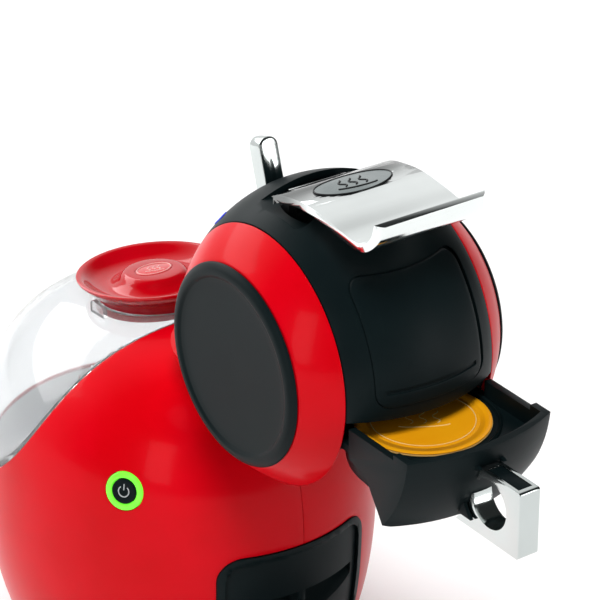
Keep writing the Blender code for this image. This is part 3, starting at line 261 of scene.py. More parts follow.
def clear_plastic():
    """Tinted clear plastic, lightly clouded inside."""
    made, tree, shader = nodes_of("clear_tank")
    drift = noise(tree, 20, 3)
    tint(tree, shader, drift, (0.92, 0.94, 0.95), (0.96, 0.97, 0.98))
    vary_roughness(tree, shader, drift, 0.03, 0.06)
    shader.inputs["Transmission Weight"].default_value = 0.90
    shader.inputs["IOR"].default_value = 1.32
    shader.inputs["Specular IOR Level"].default_value = 0.6
    return made


def lit_lens():
    made, tree, shader = nodes_of("green_light")
    drift = noise(tree, 160, 2)
    tint(tree, shader, drift, (0.10, 0.62, 0.02), (0.16, 0.72, 0.04))
    vary_roughness(tree, shader, drift, 0.3, 0.4)
    shader.inputs["Emission Color"].default_value = (0.13, 0.85, 0.03, 1)
    shader.inputs["Emission Strength"].default_value = 0.9
    return made


# ---------------------------------------------------------------- mesh helpers
def holder(name, mesh, matrix=None):
    made = bpy.data.objects.new(name, mesh)
    bpy.context.scene.collection.objects.link(made)
    if matrix is not None:
        made.matrix_world = matrix
    return made


def mesh_of(name, build):
    work = bmesh.new()
    build(work)
    mesh = bpy.data.meshes.new(name)
    work.to_mesh(mesh)
    work.free()
    return mesh


def bake(made):
    """Applies modifiers and the matrix, welds and turns faces out."""
    bpy.context.view_layer.update()
    graph = bpy.context.evaluated_depsgraph_get()
    mesh = bpy.data.meshes.new_from_object(made.evaluated_get(graph))
    mesh.transform(made.matrix_world)
    work = bmesh.new()
    work.from_mesh(mesh)
    bmesh.ops.remove_doubles(work, verts=work.verts, dist=0.000001)
    bmesh.ops.recalc_face_normals(work, faces=work.faces)
    work.to_mesh(mesh)
    work.free()
    name = made.name
    bpy.data.objects.remove(made)
    return holder(name, mesh)


def turned(name, profile, matrix=None, sides=128, stretch=1.0):
    """Revolves an (r, z) outline about Z."""
    def build(work):
        corners = [work.verts.new((r, 0, z)) for r, z in profile]
        open_ends = profile[0][0] < 1e-9 and profile[-1][0] < 1e-9
        for first, second in zip(corners, corners[1:] if open_ends else corners[1:] + corners[:1]):
            work.edges.new((first, second))
    made = holder(name, mesh_of(name, build))
    screw = made.modifiers.new("turn", "SCREW")
    screw.steps = sides
    screw.render_steps = sides
    screw.use_merge_vertices = True
    screw.merge_threshold = 0.000002
    screw.use_normal_calculate = True
    made = bake(made)
    made.data.transform(Matrix.Diagonal((1, stretch, 1, 1)))
    if matrix is not None:
        made.data.transform(matrix)
    return made


def box(name, low, high, round_axis=None, radius=0.0, steps=8):
    low, high = Vector(low), Vector(high)

    def build(work):
        bmesh.ops.create_cube(work, size=1, matrix=Matrix.Diagonal((*(high - low), 1)))
        if round_axis is not None:
            edges = [e for e in work.edges
                     if abs((e.verts[0].co - e.verts[1].co)[round_axis]) > 1e-6]
            bmesh.ops.bevel(work, geom=edges, offset=radius, segments=steps, profile=0.5,
                            affect="EDGES")
        bmesh.ops.translate(work, verts=work.verts, vec=(low + high) / 2)
    return holder(name, mesh_of(name, build))


def rod(name, start, end, radius, sides=64, tip=None):
    start, end = Vector(start), Vector(end)
    span = end - start
    turn = span.to_track_quat("Z", "Y").to_matrix().to_4x4()

    def build(work):
        bmesh.ops.create_cone(work, cap_ends=True, segments=sides, radius1=radius,
                              radius2=radius if tip is None else tip, depth=span.length,
                              matrix=Matrix.Translation((start + end) / 2) @ turn)
    return holder(name, mesh_of(name, build))


def ball(name, radii, centre, sides=96):
    def build(work):
        bmesh.ops.create_uvsphere(work, u_segments=sides, v_segments=sides // 2, radius=1,
                                  matrix=Matrix.Translation(centre)
                                  @ Matrix.Diagonal((*radii, 1)))
    return holder(name, mesh_of(name, build))


def prism(name, outline, half_width, start=None):
    """A closed (y, z) outline, measured from the ball's centre, given width along X."""
    start = HEAD if start is None else start

    def build(work):
        rings = [[work.verts.new(start + Vector((x, y, z))) for y, z in outline]
                 for x in (-half_width, half_width)]
        work.faces.new(rings[0])
        work.faces.new(rings[1])
        for i in range(len(outline)):
            work.faces.new((rings[0][i], rings[0][i - 1], rings[1][i - 1], rings[1][i]))
        bmesh.ops.recalc_face_normals(work, faces=work.faces)
    return holder(name, mesh_of(name, build))


def combine(target, tools, operation="DIFFERENCE"):
    for tool in tools:
        step = target.modifiers.new(tool.name, "BOOLEAN")
        step.object = tool
        step.operation = operation
        step.solver = "EXACT"
        target = bake(target)
        bpy.data.objects.remove(tool)
    return target


def cut(target, *tools):
    return combine(target, tools)


def keep(target, tool):
    return combine(target, [tool], "INTERSECT")


def join(target, *tools):
    return combine(target, tools, "UNION")


def soften(made, width, segments=2, angle=38):
    """Rounds the edges and shades the rest smooth."""
    edge = made.modifiers.new("edge", "BEVEL")
    edge.width = width
    edge.segments = segments
    edge.limit_method = "ANGLE"
    edge.angle_limit = math.radians(angle)
    made = bake(made)
    for face in made.data.polygons:
        face.use_smooth = True
    made.data.set_sharp_from_angle(angle=math.radians(50))
    return made


def dress(made, name, material, body, slot, *nodes):
    """Names a finished piece and ties it to the frame."""
    made.name = name + "_look"
    made.data.materials.clear()
    made.data.materials.append(KIT[material])
    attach(made, body)
    if nodes:
        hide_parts(*nodes)
    return made


def tube(name, points, radius, material, body, slot, *nodes, cyclic=False):
    line = bpy.data.curves.new(name, "CURVE")
    line.dimensions = "3D"
    line.bevel_depth = radius
    line.bevel_resolution = 4
    line.resolution_u = 10
    line.use_fill_caps = True
    spline = line.splines.new("BEZIER")
    spline.bezier_points.add(len(points) - 1)
    spline.use_cyclic_u = cyclic
    for knot, point in zip(spline.bezier_points, points):
        knot.co = point
        knot.handle_left_type = "AUTO"
        knot.handle_right_type = "AUTO"
    made = bake(holder(name, line))
    for face in made.data.polygons:
        face.use_smooth = True
    return dress(made, name, material, body, slot, *nodes)


# ---------------------------------------------------------------- shared shapes
def egg_radius(height):
    above = height > WAIST_Z
    reach, power = (RISE, CROWN_POWER) if above else (DROP, KEEL_POWER)
    share = min(1.0, abs(height - WAIST_Z) / reach)
    return EGG_HALF * (1 - share ** power) ** (1 / power)


def egg_outline(inset=0.0, low=SKIRT_Z, up=36, down=22):
    heights = [WAIST_Z + RISE * math.cos(math.pi / 2 * i / up) ** (2 / CROWN_POWER)
               for i in range(up + 1)]
    heights += [WAIST_Z + (low - WAIST_Z) * i / down for i in range(1, down + 1)]
    squeeze = 1 - inset / EGG_HALF
    outline = [(egg_radius(z) * squeeze, z - inset * max(0.0, (z - WAIST_Z) / RISE))
               for z in heights]
    outline[0] = (0.0, outline[0][1])
    return outline


def egg(name, inset=0.0, low=SKIRT_Z, sides=160):
    outline = egg_outline(inset, low)
    return turned(name, outline + [(0.0, outline[-1][1])], Matrix.Translation((0, BODY_Y, 0)),
                  sides, STRETCH)


def egg_front(x, z):
    r = egg_radius(z)
    return BODY_Y - r * STRETCH * math.sqrt(1 - (x / r) ** 2)


def tank_arc(name, radius, half=0.11):
    """The block whose lower side is the tank's curved edge, open upwards and backwards."""
    turns = [math.pi + math.pi / 2 * i / 48 for i in range(49)]
    outline = [(-radius, 0.05)] + [(radius * math.cos(a), radius * math.sin(a)) for a in turns]
    outline += [(0.13, -radius), (0.13, 0.05)]
    return prism(name, outline, half, Vector((0, ARC_Y, ARC_Z)))


def head_zone(name, inner, outer, low, high, sides=192, steps=12):
    """A slice of the ball between two X stations, hollow inside."""
    stations = [low + (high - low) * i / steps for i in range(steps + 1)]
    skin = [(math.sqrt(outer ** 2 - x ** 2), x) for x in reversed(stations)]
    lining = [(math.sqrt(inner ** 2 - x ** 2), x) for x in stations]
    return turned(name, skin + lining,
                  Matrix.Translation(HEAD) @ Matrix.Rotation(math.pi / 2, 4, "Y"), sides)


def smooth_line(points, steps=8):
    """Catmull-Rom points through a short list."""
    line = []
    for i in range(len(points) - 1):
        a, b = points[max(0, i - 1)], points[i]
        c, d = points[i + 1], points[min(len(points) - 1, i + 2)]
        for k in range(steps):
            t = k / steps
            line.append(tuple(0.5 * (2 * b[j] + (c[j] - a[j]) * t
                                     + (2 * a[j] - 5 * b[j] + 4 * c[j] - d[j]) * t * t
                                     + (3 * b[j] - a[j] - 3 * c[j] + d[j]) * t ** 3)
                              for j in (0, 1)))
    line.append(tuple(points[-1]))
    return line


# ---------------------------------------------------------------- body
def neck_gap(grow):
    return box("neck_gap", at_head(-0.026 - grow, 0.036 - grow, -0.112),
               at_head(0.026 + grow, 0.070 + grow, -0.030), 2, 0.006 + grow)


def side_shells():
    outline = egg_outline()
    lining = egg_outline(WALL)
    button = button_pose()
    for side, tag in ((-1, "left"), (1, "right")):
        shell = turned("shell_" + tag, outline + lining[::-1], Matrix.Translation((0, BODY_Y, 0)),
                       160, STRETCH)
        edge = side * GAP / 2
        low, high = sorted((edge, side * 0.12))
        shell = keep(shell, box("half", (low, -0.2, -0.1), (high, 0.3, 0.4)))
        tools = [tank_arc("arc", ARC_R + GAP), ball("head_gap", (HEAD_R + FIT,) * 3, HEAD, 128),
                 box("ladder_gap", (-LADDER_HALF - GAP, -0.1, -0.01),
                     (LADDER_HALF + GAP, BODY_Y - 0.02, LADDER_TOP + GAP), 1, 0.011, 10),
                 neck_gap(GAP)]
        if side < 0:
            tools.append(rod("button_gap", button @ Vector((0, 0, -0.02)),
                             button @ Vector((0, 0, 0.02)), LENS_R + GAP))
        shell = soften(cut(shell, *tools), 0.0006, 3)
        dress(shell, "side_shell_" + tag, "red", "housing", "red_gloss", "side_shell_" + tag)


def neck():
    post = neck_gap(0)
    collar = rod("collar", at_head(0, 0.050, -0.082), at_head(0, 0.050, -0.026), 0.020, 96, 0.039)
    collar = cut(collar, egg("body_gap", -GAP, SKIRT_Z - 0.01), tank_arc("arc", ARC_R + 2 * GAP))
    post = cut(join(post, collar), ball("head_gap", (HEAD_R + GAP,) * 3, HEAD, 128),
               box("hose_way", at_head(-0.006, 0.040, -0.13), at_head(0.006, 0.052, -0.02)),
               box("hose_turn", at_head(-0.006, 0.041, -0.13), at_head(0.006, 0.10, -0.096)))
    dress(soften(post, 0.0004), "neck", "red", "housing", "red_gloss", "neck")


def ladder():
    """Front panel: raised rim, recessed field, and slots with sloping ledges."""
    panel = box("panel", (-LADDER_HALF, -0.1, 0.030), (LADDER_HALF, BODY_Y - 0.02, LADDER_TOP), 1,
                0.0105, 10)
    panel = keep(panel, egg("outside", -0.0006))
    tools = [egg("inside", 0.012, SKIRT_Z - 0.01)]
    rim = 0.0030
    field = box("field", (-LADDER_HALF + rim, -0.1, 0.033),
                (LADDER_HALF - rim, BODY_Y - 0.03, LADDER_TOP - rim), 1, 0.0080, 10)
    tools.append(cut(field, egg("field_floor", 0.0008, SKIRT_Z - 0.01)))
    for row in range(SLOT_ROWS):
        top = LADDER_TOP - SLOT_DROP - row * SLOT_PITCH
        front = egg_front(0, top) - HEAD.y
        high = top - HEAD.z
        low = high - SLOT_HIGH
        floor = low if row == SLOT_ROWS - 1 else high - 0.0035
        outline = [(front - 0.02, high), (front + 0.010, high), (front + 0.010, floor),
                   (front + 0.0022, low), (front - 0.02, low)]
        for side in (-1, 1):
            slot = prism("slot", outline, (SLOT_HALF - RIB_HALF) / 2)
            slot.data.transform(Matrix.Translation((side * (SLOT_HALF + RIB_HALF) / 2, 0, 0)))
            tools.append(slot)
    panel = soften(cut(panel, *tools), 0.00055, 3, 30)
    dress(panel, "front_ladder", "black", "housing", "black_satin", "front_ladder")


def base():
    middle_at = Matrix.Translation((0, BODY_Y, 0))
    profile = smooth_line([(0.0555, 0.026), (0.0565, 0.022), (0.0585, 0.015), (0.061, 0.0065)])
    profile += [(0.0606, 0.0048), (0.059, 0.004), (0.0, 0.004), (0.0, 0.0064), (0.0565, 0.0066),
                (0.0555, 0.018), (0.053, 0.026)]
    plate = turned("base", profile, middle_at, 160, STRETCH)
    bush_y = middle("cord_inlet").y
    plate = cut(plate, rod("bush_hole", (0, bush_y - 0.02, 0.0145), (0, bush_y + 0.02, 0.0145),
                           0.0048))
    dress(soften(plate, 0.0003), "base_plate", "dark", "housing", "dark_plastic", "base_plate")
    for i in range(1, 5):
        low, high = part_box("foot_%d" % i)
        x, y = (low[0] + high[0]) / 2, (low[1] + high[1]) / 2
        pad = turned("pad", [(0.0, 0.0037), (0.007, 0.0037), (0.0068, 0.0008), (0.0058, 0.0),
                             (0.0046, 0.0), (0.0040, 0.0006), (0.0, 0.0006)],
                     Matrix.Translation((x, y, 0)), 48)
        dress(soften(pad, 0.0002), "foot_%d" % i, "rubber", "housing", "rubber", "foot_%d" % i)
    back = Vector((0, middle("cord_inlet").y, 0.0145))
    rings = [(0.0045, -0.0062), (0.0045, 0.0010), (0.0040, 0.0014), (0.0040, 0.0022),
             (0.0045, 0.0026), (0.0042, 0.0036), (0.0037, 0.0040), (0.0037, 0.0048),
             (0.0041, 0.0052), (0.0037, 0.0062), (0.0031, 0.0062), (0.0031, -0.0062)]
    turn = Matrix.Translation(back) @ Matrix.Rotation(-math.pi / 2, 4, "X")
    bush = turned("bush", rings[::-1], turn, 48)
    dress(soften(bush, 0.00015), "cord_inlet", "rubber", "housing", "rubber", "cord_inlet")


# ---------------------------------------------------------------- tank and lid
def tank():
    shell = keep(egg("tank_outside", 0.0, 0.1), tank_arc("arc", ARC_R))
    hollow = keep(egg("tank_hollow", TANK_WALL, 0.09), tank_arc("arc", ARC_R - TANK_WALL))
    pose = lid_pose()
    mouth = rod("mouth", pose @ Vector((0, 0, -0.02)), pose @ Vector((0, 0, 0.03)), FILL_R, 96)
    valve = middle("valve_body")
    hole = rod("valve_hole", valve - Vector((0, 0, 0.02)), valve + Vector((0, 0, 0.01)), 0.0075)
    shell = soften(cut(shell, mouth, hollow, hole), 0.0005, 3)
    dress(shell, "tank_shell", "clear", "tank", "clear_tank", "tank_shell")
    seat = keep(egg("seat", WALL + GAP, 0.1), tank_arc("arc", ARC_R + GAP + WALL))
    seat = cut(seat, tank_arc("arc", ARC_R + GAP),
               rod("socket", valve - Vector((0, 0, 0.03)), valve + Vector((0, 0, 0.02)), 0.0120))
    dress(soften(seat, 0.0003), "tank_seat", "white", "housing", "white_plastic", "tank_seat")


def lid_pose():
    return Matrix.Translation(LID) @ Matrix.Rotation(-LID_TILT, 4, "X")


def oval(name, long_half, short_half, low, high, pose, sides=96):
    def build(work):
        bmesh.ops.create_cone(work, cap_ends=True, segments=sides, radius1=1, radius2=1, depth=1)
    made = holder(name, mesh_of(name, build))
    made.data.transform(pose @ Matrix.Translation((0, 0, (low + high) / 2))
                        @ Matrix.Diagonal((long_half, short_half, high - low, 1)))
    return made


def oval_ring(name, long_half, short_half, radius, height, pose, material, body, slot,
              settle=Vector):
    points = [settle(pose @ Vector((long_half * math.cos(a), short_half * math.sin(a), height)))
              for a in (2 * math.pi * i / 32 for i in range(32))]
    return tube(name, points, radius, material, body, slot, cyclic=True)


def steam_mark(name, pose, size, height, radius, material, body, slot, settle=Vector):
    """Generic mark: three wavy lines of steam over a saucer line."""
    pieces = []
    for i in (-1, 0, 1):
        wave = [settle(pose @ Vector((i * size * 0.42 + size * 0.10 * math.sin(2.6 * math.pi * t),
                                      size * (-0.28 + 0.72 * t), height))) for t in
                (k / 8 for k in range(9))]
        pieces.append(tube("%s_steam_%d" % (name, i + 2), wave, radius, material, body, slot))
    saucer = [settle(pose @ Vector((size * 0.85 * math.cos(a),
                                    size * (-0.34 + 0.16 * math.sin(a)), height)))
              for a in (math.radians(200 + 14 * k) for k in range(11))]
    pieces.append(tube(name + "_saucer", saucer, radius, material, body, slot))
    return pieces


def tank_lid():
    pose = lid_pose()
    top = smooth_line([(0.0, 0.0092), (0.0105, 0.0092), (0.0135, 0.0084), (0.0160, 0.0056),
                       (0.0190, 0.0038), (0.0225, 0.0038), (0.0268, 0.0054), (0.0310, 0.0086),
                       (0.0330, 0.0092)], 6)
    rim = [(LID_R, 0.0089), (LID_R, 0.0082), (LID_R - 0.0006, 0.0074)]
    under = [(0.0285, 0.0032), (FILL_R - FIT, 0.0026), (FILL_R - FIT, -0.006),
             (FILL_R - 0.0026, -0.006), (FILL_R - 0.0026, 0.0008), (0.0, 0.0008)]
    lid = turned("lid", top + rim + under, pose, 160)
    lid = cut(lid, oval("pocket", 0.0085 + GAP, 0.0062 + GAP, 0.0085, 0.0105, pose))
    dress(soften(lid, 0.0003, 3, 45), "tank_lid", "red_lid", "lid", "red_gloss", "tank_lid")
    plate = soften(oval("plate", 0.0085, 0.0062, 0.0088, 0.0094, pose), 0.0002)
    dress(plate, "lid_badge", "badge_red", "lid", "red_gloss", "lid_badge")
    oval_ring("lid_badge_ring", 0.0078, 0.0056, 0.00022, 0.0094, pose, "badge_line", "lid",
              "red_gloss")
    turned_pose = pose @ Matrix.Rotation(math.radians(-20), 4, "Z")
    steam_mark("lid_badge", turned_pose, 0.0052, 0.0094, 0.00025, "badge_line", "lid", "red_gloss")


# ---------------------------------------------------------------- head
def lever_point(distance, across=0.0):
    along = Vector((0, math.sin(LEVER_LEAN), math.cos(LEVER_LEAN)))
    over = Vector((0, math.cos(LEVER_LEAN), -math.sin(LEVER_LEAN)))
    return HEAD + Vector((0, 0.0322, 0)) + along * distance + over * across


def head_band():
    band = head_zone("band", HEAD_R - HEAD_WALL, HEAD_R, -BAND_HALF, BAND_HALF, 224, 20)
    wide = BAND_HALF + 0.01
    slot = box("slot", (-0.0126, -0.0046, -0.010), (0.0126, 0.0046, 0.014), 1, 0.003)
    slot.data.transform(Matrix.Translation(lever_point(LEVER_SLOT))
                        @ Matrix.Rotation(-LEVER_LEAN, 4, "X"))
    tools = [box("mouth", at_head(-wide, -0.09, -0.09), at_head(wide, 0.010, -CUFF)),
             box("pocket", at_head(-HANDLE_HALF - 0.001, -0.012, 0.0565),
                 at_head(HANDLE_HALF + 0.001, HINGE[0] + 0.0042, 0.08), 2, 0.003),
             slot,
             rod("hose_hole", at_head(0, 0.046, -0.07), at_head(0, 0.046, 0.0), 0.0035)]
    visor_gap = head_zone("visor_gap", HEAD_R - 0.0016, HEAD_R + 0.004, -BAND_HALF, BAND_HALF, 224)
    visor_gap = keep(visor_gap, box("visor_cut", at_head(-0.0253, -0.09, -0.0009),
                                    at_head(0.0272, -0.012, 0.0466), 1, 0.0062))
    tools.append(visor_gap)
    for side, tag in ((-1, "cold"), (1, "hot")):
        spot = Vector((side * 0.0283, 0.040, 0.0411)).normalized()
        tools.append(rod("mark_hole", HEAD + spot * (HEAD_R - 0.0014), HEAD + spot * HEAD_R * 1.1,
                         0.0037))
        mark = rod("mark", HEAD + spot * (HEAD_R - 0.0011), HEAD + spot * (HEAD_R + 0.0003), 0.0034)
        dress(soften(mark, 0.0004, 3), "mark_" + tag, "blue" if side < 0 else "hot", "housing",
              "blue_mark" if side < 0 else "red_mark", "mark_" + tag)
    band = soften(cut(band, *tools), 0.0006, 3)
    dress(band, "head_band", "black", "housing", "black_satin", "head_band")


def visor():
    """Smooth shield on the front with a fine groove along its lower edge."""
    plate = head_zone("visor", HEAD_R - 0.0013, HEAD_R + 0.0004, -BAND_HALF, BAND_HALF, 224)
    plate = keep(plate, box("visor_cut", at_head(-0.0250, -0.09, -0.0006),
                            at_head(0.0250, -0.012, 0.0463), 1, 0.006))
    step = head_zone("step", HEAD_R - 0.0002, HEAD_R + 0.002, -BAND_HALF, BAND_HALF, 224)
    step = keep(step, box("step_cut", at_head(-0.0212, -0.09, 0.0048),
                          at_head(0.0216, -0.012, 0.0066)))
    plate = cut(plate, step)
    dress(soften(plate, 0.0004, 3, 25), "visor_panel", "black", "housing", "black_satin",
          "visor_panel")


def rings_and_caps():
    rim = math.sqrt(HEAD_R ** 2 - RING_OUT ** 2)
    face = smooth_line([(0.0, 0.0017), (rim - 0.0130, 0.0020), (rim - 0.0066, 0.0023)], 6)
    face += smooth_line([(rim - 0.0060, 0.0024), (rim - 0.0050, 0.0031), (rim - 0.0038, 0.0032),
                         (rim - 0.0022, 0.0028), (rim - 0.0006, 0.0016), (rim, 0.0006)], 5)
    face += [(rim - 0.0006, GAP), (0.0, GAP)]
    for side, tag in ((-1, "left"), (1, "right")):
        low, high = sorted((side * (BAND_HALF + GAP), side * RING_OUT))
        ring = head_zone("ring", HEAD_R - HEAD_WALL, HEAD_R, low, high)
        dress(soften(ring, 0.0005, 3), "ring_" + tag, "red", "housing", "red_gloss", "ring_" + tag)
        pose = (Matrix.Translation(at_head(side * RING_OUT, 0, 0))
                @ Matrix.Rotation(side * math.pi / 2, 4, "Y"))
        cap = turned("cap", face, pose, 192)
        dress(soften(cap, 0.0002), "cap_" + tag, "black", "housing", "black_satin", "cap_" + tag)


def lock_handle():
    top = smooth_line([(0.0085, 0.0625), (0.0020, 0.0658), (-0.0060, 0.0677), (-0.0170, 0.0689),
                       (-0.0300, 0.0679), (-0.0410, 0.0663), (-0.0480, 0.0660), (-0.0530, 0.0676),
                       (-0.0560, 0.0710), (-0.0572, 0.0766)], 6)
    under = []
    for i, (y, z) in enumerate(top):
        before, after = top[max(0, i - 1)], top[min(len(top) - 1, i + 1)]
        along = Vector((after[0] - before[0], after[1] - before[1])).normalized()
        under.append((y - along.y * HANDLE_THICK, z + along.x * HANDLE_THICK))
    heel = [(HINGE[0] - 0.0020, HINGE[1] - 0.0008), (HINGE[0] + 0.0016, HINGE[1] + 0.0024)]
    plate = prism("plate", heel + top + under[::-1], HANDLE_HALF)
    plate = join(plate, rod("barrel", at_head(-0.0136, *HINGE), at_head(0.0136, *HINGE), 0.0034))
    plate = keep(plate, box("plan", at_head(-HANDLE_HALF + 0.0002, -0.0610, 0.04),
                            at_head(HANDLE_HALF - 0.0002, 0.0300, 0.09), 2, 0.0075, 12))
    pose = (Matrix.Translation(at_head(0, -0.009, 0.0686))
            @ Matrix.Rotation(math.radians(-7), 4, "X"))
    crown = [(y, z) for y, z in top if -0.0400 < y < 0.0070]

    def sheet(name, low, high, grow):
        """An oval piece that follows the handle's top."""
        band = prism(name, [(y, z + high) for y, z in crown] + [(y, z + low) for y, z in crown[::-1]],
                     0.025)
        return keep(band, oval(name + "_plan", BADGE_HALF[0] + grow, BADGE_HALF[1] + grow,
                               -0.02, 0.02, pose))

    def settle(point):
        """Lays a point on the handle's top."""
        y = point.y - HEAD.y
        for (y1, z1), (y2, z2) in zip(crown, crown[1:]):
            if y2 <= y <= y1:
                share = (y - y1) / (y2 - y1)
                return Vector((point.x, point.y, HEAD.z + z1 + (z2 - z1) * share + 0.0001))
        return point

    tools = [rod("pin_bore", at_head(-0.04, *HINGE), at_head(0.04, *HINGE), PIN_R + FIT / 2),
             sheet("pocket", -0.0008, 0.004, 0.0001)]
    for side in (-1, 1):
        low, high = sorted((side * 0.0140, side * 0.029))
        tools.append(box("heel", at_head(low, 0.0060, 0.04), at_head(high, 0.030, 0.0633)))
    plate = soften(cut(plate, *tools), 0.0006, 4, 35)
    dress(plate, "lock_handle", "bill", "handle", "chrome", "lock_handle")
    badge = sheet("badge", -0.0006, 0.0001, 0.0)
    dress(badge, "handle_badge", "badge", "handle", "chrome", "handle_badge")
    oval_ring("handle_badge_ring", BADGE_HALF[0] - 0.0002, BADGE_HALF[1] - 0.0002, 0.0003, 0.0,
              pose, "dark", "handle", "chrome", settle)
    turned_pose = pose @ Matrix.Rotation(math.radians(-8), 4, "Z")
    steam_mark("handle_badge", turned_pose, 0.0105, 0.0, 0.00035, "dark", "handle", "chrome",
               settle)


def selector():
    wide, thick = LEVER_HALF
    fin = box("fin", (-wide, -thick, -LEVER_TAIL), (wide, thick, LEVER_TOP - LEVER_PIVOT), 1,
              0.0042, 10)
    fin.data.transform(Matrix.Translation(lever_point(LEVER_PIVOT))
                       @ Matrix.Rotation(-LEVER_LEAN, 4, "X"))
    fin = cut(fin, rod("bore", lever_point(LEVER_PIVOT, -0.01), lever_point(LEVER_PIVOT, 0.01),
                       PIN_R + GAP))
    dress(soften(fin, 0.0009, 4), "selector_lever", "chrome", "selector", "chrome",
          "selector_lever")


# ---------------------------------------------------------------- drawer, pod and grip
def drawer():
    shift = -TRAVEL
    side = BAND_HALF - FIT
    centre = at_head(0, shift, 0)
    body = box("drawer", at_head(-side, shift - 0.075, -DRAWER_DEEP),
               at_head(side, shift - 0.018, -CUFF - GAP))
    body = keep(body, ball("skin", BOW, centre, 160))
    inside = box("inside", at_head(-side + DRAWER_WALL, shift - 0.075, -0.2),
                 at_head(side - DRAWER_WALL, shift + 0.03, 0.2))
    inside = keep(inside, ball("lining", tuple(v - BOW_THICK for v in BOW), centre, 160))
    step = box("step", at_head(-side - 0.01, shift - 0.046, -0.0085),
               at_head(side + 0.01, shift + 0.03, 0.02))
    curve = smooth_line([(-0.0412, -0.0425), (-0.0340, -0.0317), (-0.0275, -0.0238),
                         (-0.0146, -0.0208)], 6)
    slope = prism("slope", [(shift + y, z) for y, z in
                            [(-0.0412, -0.060)] + curve + [(0.010, -0.0208), (0.010, -0.060)]],
                  side + 0.01)
    body = cut(body, inside, step, slope)
    seat = box("seat", at_head(-side + 0.0002, shift - 0.058, -0.0190),
               at_head(side - 0.0002, shift + 0.010, -0.0158))
    seat = keep(seat, ball("skin", BOW, centre, 160))
    pod_at = Matrix.Translation(POD)
    foot = middle("pod_cup").z * 2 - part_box("pod_cup")[1][2] - HEAD.z
    bowl = smooth_line([(0.0305, -0.0165), (0.0295, foot + 0.0105), (0.0258, foot + 0.005),
                        (0.0222, foot + 0.0005), (0.0185, foot - 0.0045),
                        (0.0060, foot - 0.0070)], 4)
    bowl = turned("bowl", [(0.0, -0.0165)] + bowl + [(0.0060, foot - 0.0040), (0.0, foot - 0.0040)],
                  pod_at, 128)
    well = turned("well", [(0.0, 0.01), (0.0262, 0.01), (0.0262, -0.018), (0.0193, foot - FIT),
                           (0.0, foot - FIT)], pod_at, 128)
    rim = turned("rim", [(0.0292, -0.0152), (0.0300, -0.0144), (0.0308, -0.0152),
                         (0.0308, -0.0170), (0.0292, -0.0170)], pod_at, 128)
    rim = keep(rim, box("rim_cut", at_head(-side + 0.001, shift - 0.054, -0.03),
                        at_head(side - 0.001, shift + 0.009, 0.0)))
    fork = GRIP_HALF + 0.0018
    mount = box("mount", at_head(-fork, -0.1000, -0.0385), at_head(fork, -0.086, -0.0135), 0,
                0.003)
    mount = cut(mount, ball("mount_in", tuple(v - BOW_THICK / 2 for v in BOW), centre, 160),
                box("grip_gap", at_head(-GRIP_HALF - GAP, -0.2, -0.06),
                    at_head(GRIP_HALF + GAP, -0.05, 0.0)),
                rod("hole_gap", at_head(-0.02, *GRIP_HOLE), at_head(0.02, *GRIP_HOLE),
                    GRIP_HOLE_R + 0.0035, 96))
    body = join(body, seat, bowl, mount)
    outlet = rod("outlet", POD + Vector((0, 0, -0.06)), POD + Vector((0, 0, foot + 0.001)), 0.0035)
    body = cut(body, well, outlet)
    body = join(body, rim)
    dress(soften(body, 0.0005, 3), "pod_drawer", "black", "drawer", "black_satin", "pod_drawer")


def pod():
    at = Matrix.Translation(POD)
    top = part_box("pod_lid")[1][2] - POD.z
    r = 0.0268
    foil = smooth_line([(0.0, top - 0.0001), (0.018, top - 0.00025), (0.0232, top - 0.0005),
                        (0.0242, top - 0.0003), (0.0250, top), (0.0262, top), (r, top - 0.0002)], 4)
    lid = turned("foil", foil + [(r, top - 0.0004), (0.0, top - 0.0006)], at, 160)
    for face in lid.data.polygons:
        face.use_smooth = True
    dress(lid, "pod_lid", "foil", "drawer", "pod_foil", "pod_lid")
    z = POD.z + top - 0.0002
    bean = Matrix.Translation((POD.x, POD.y, z)) @ Matrix.Rotation(math.radians(-30), 4, "Z")
    steam_mark("pod_mark", bean, 0.0125, 0.0, 0.00022, "foil_mark", "drawer", "pod_foil")
    oval_ring("pod_ring", 0.0205, 0.0205, 0.00018, 0.0, bean, "foil_mark", "drawer", "pod_foil")
    low = -0.0145
    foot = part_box("pod_cup")[0][2] - POD.z
    cup = turned("cup", [(0.027, low - 0.0005), (0.027, low - 0.0011), (0.0248, low - 0.0011),
                         (0.0180, foot), (0.0, foot), (0.0, foot + 0.0012),
                         (0.0168, foot + 0.0012), (0.0236, low - 0.0005)], at, 96)
    dress(soften(cup, 0.0001), "pod_cup", "cup", "drawer", "white_plastic", "pod_cup")


def grip():
    half = GRIP_HALF
    front, top, bottom = -0.121, -0.0146, -0.0433
    centre = at_head(0, -TRAVEL, 0)
    block = box("grip", at_head(-half, front, bottom), at_head(half, -0.082, top), 0, 0.0010, 4)
    block = cut(block, ball("front_gap", tuple(v + GAP for v in BOW), centre, 160),
                box("under", at_head(-0.02, -0.084, -DRAWER_DEEP - GAP), at_head(0.02, -0.070, 0)),
                rod("hole", at_head(-0.02, *GRIP_HOLE), at_head(0.02, *GRIP_HOLE), GRIP_HOLE_R, 96),
                box("inlay_gap", at_head(-half + 0.0015, front + 0.0027, top - 0.0010),
                    at_head(half - 0.0015, -0.1000, top + 0.01)))
    dress(soften(block, 0.0005, 4), "drawer_grip", "chrome", "drawer", "chrome", "drawer_grip")
    inlay = box("inlay", at_head(-half + 0.0018, front + 0.0030, top - 0.0007),
                at_head(half - 0.0018, -0.1003, top))
    dress(soften(inlay, 0.0002), "grip_inlay", "black", "drawer", "black_satin", "grip_inlay")


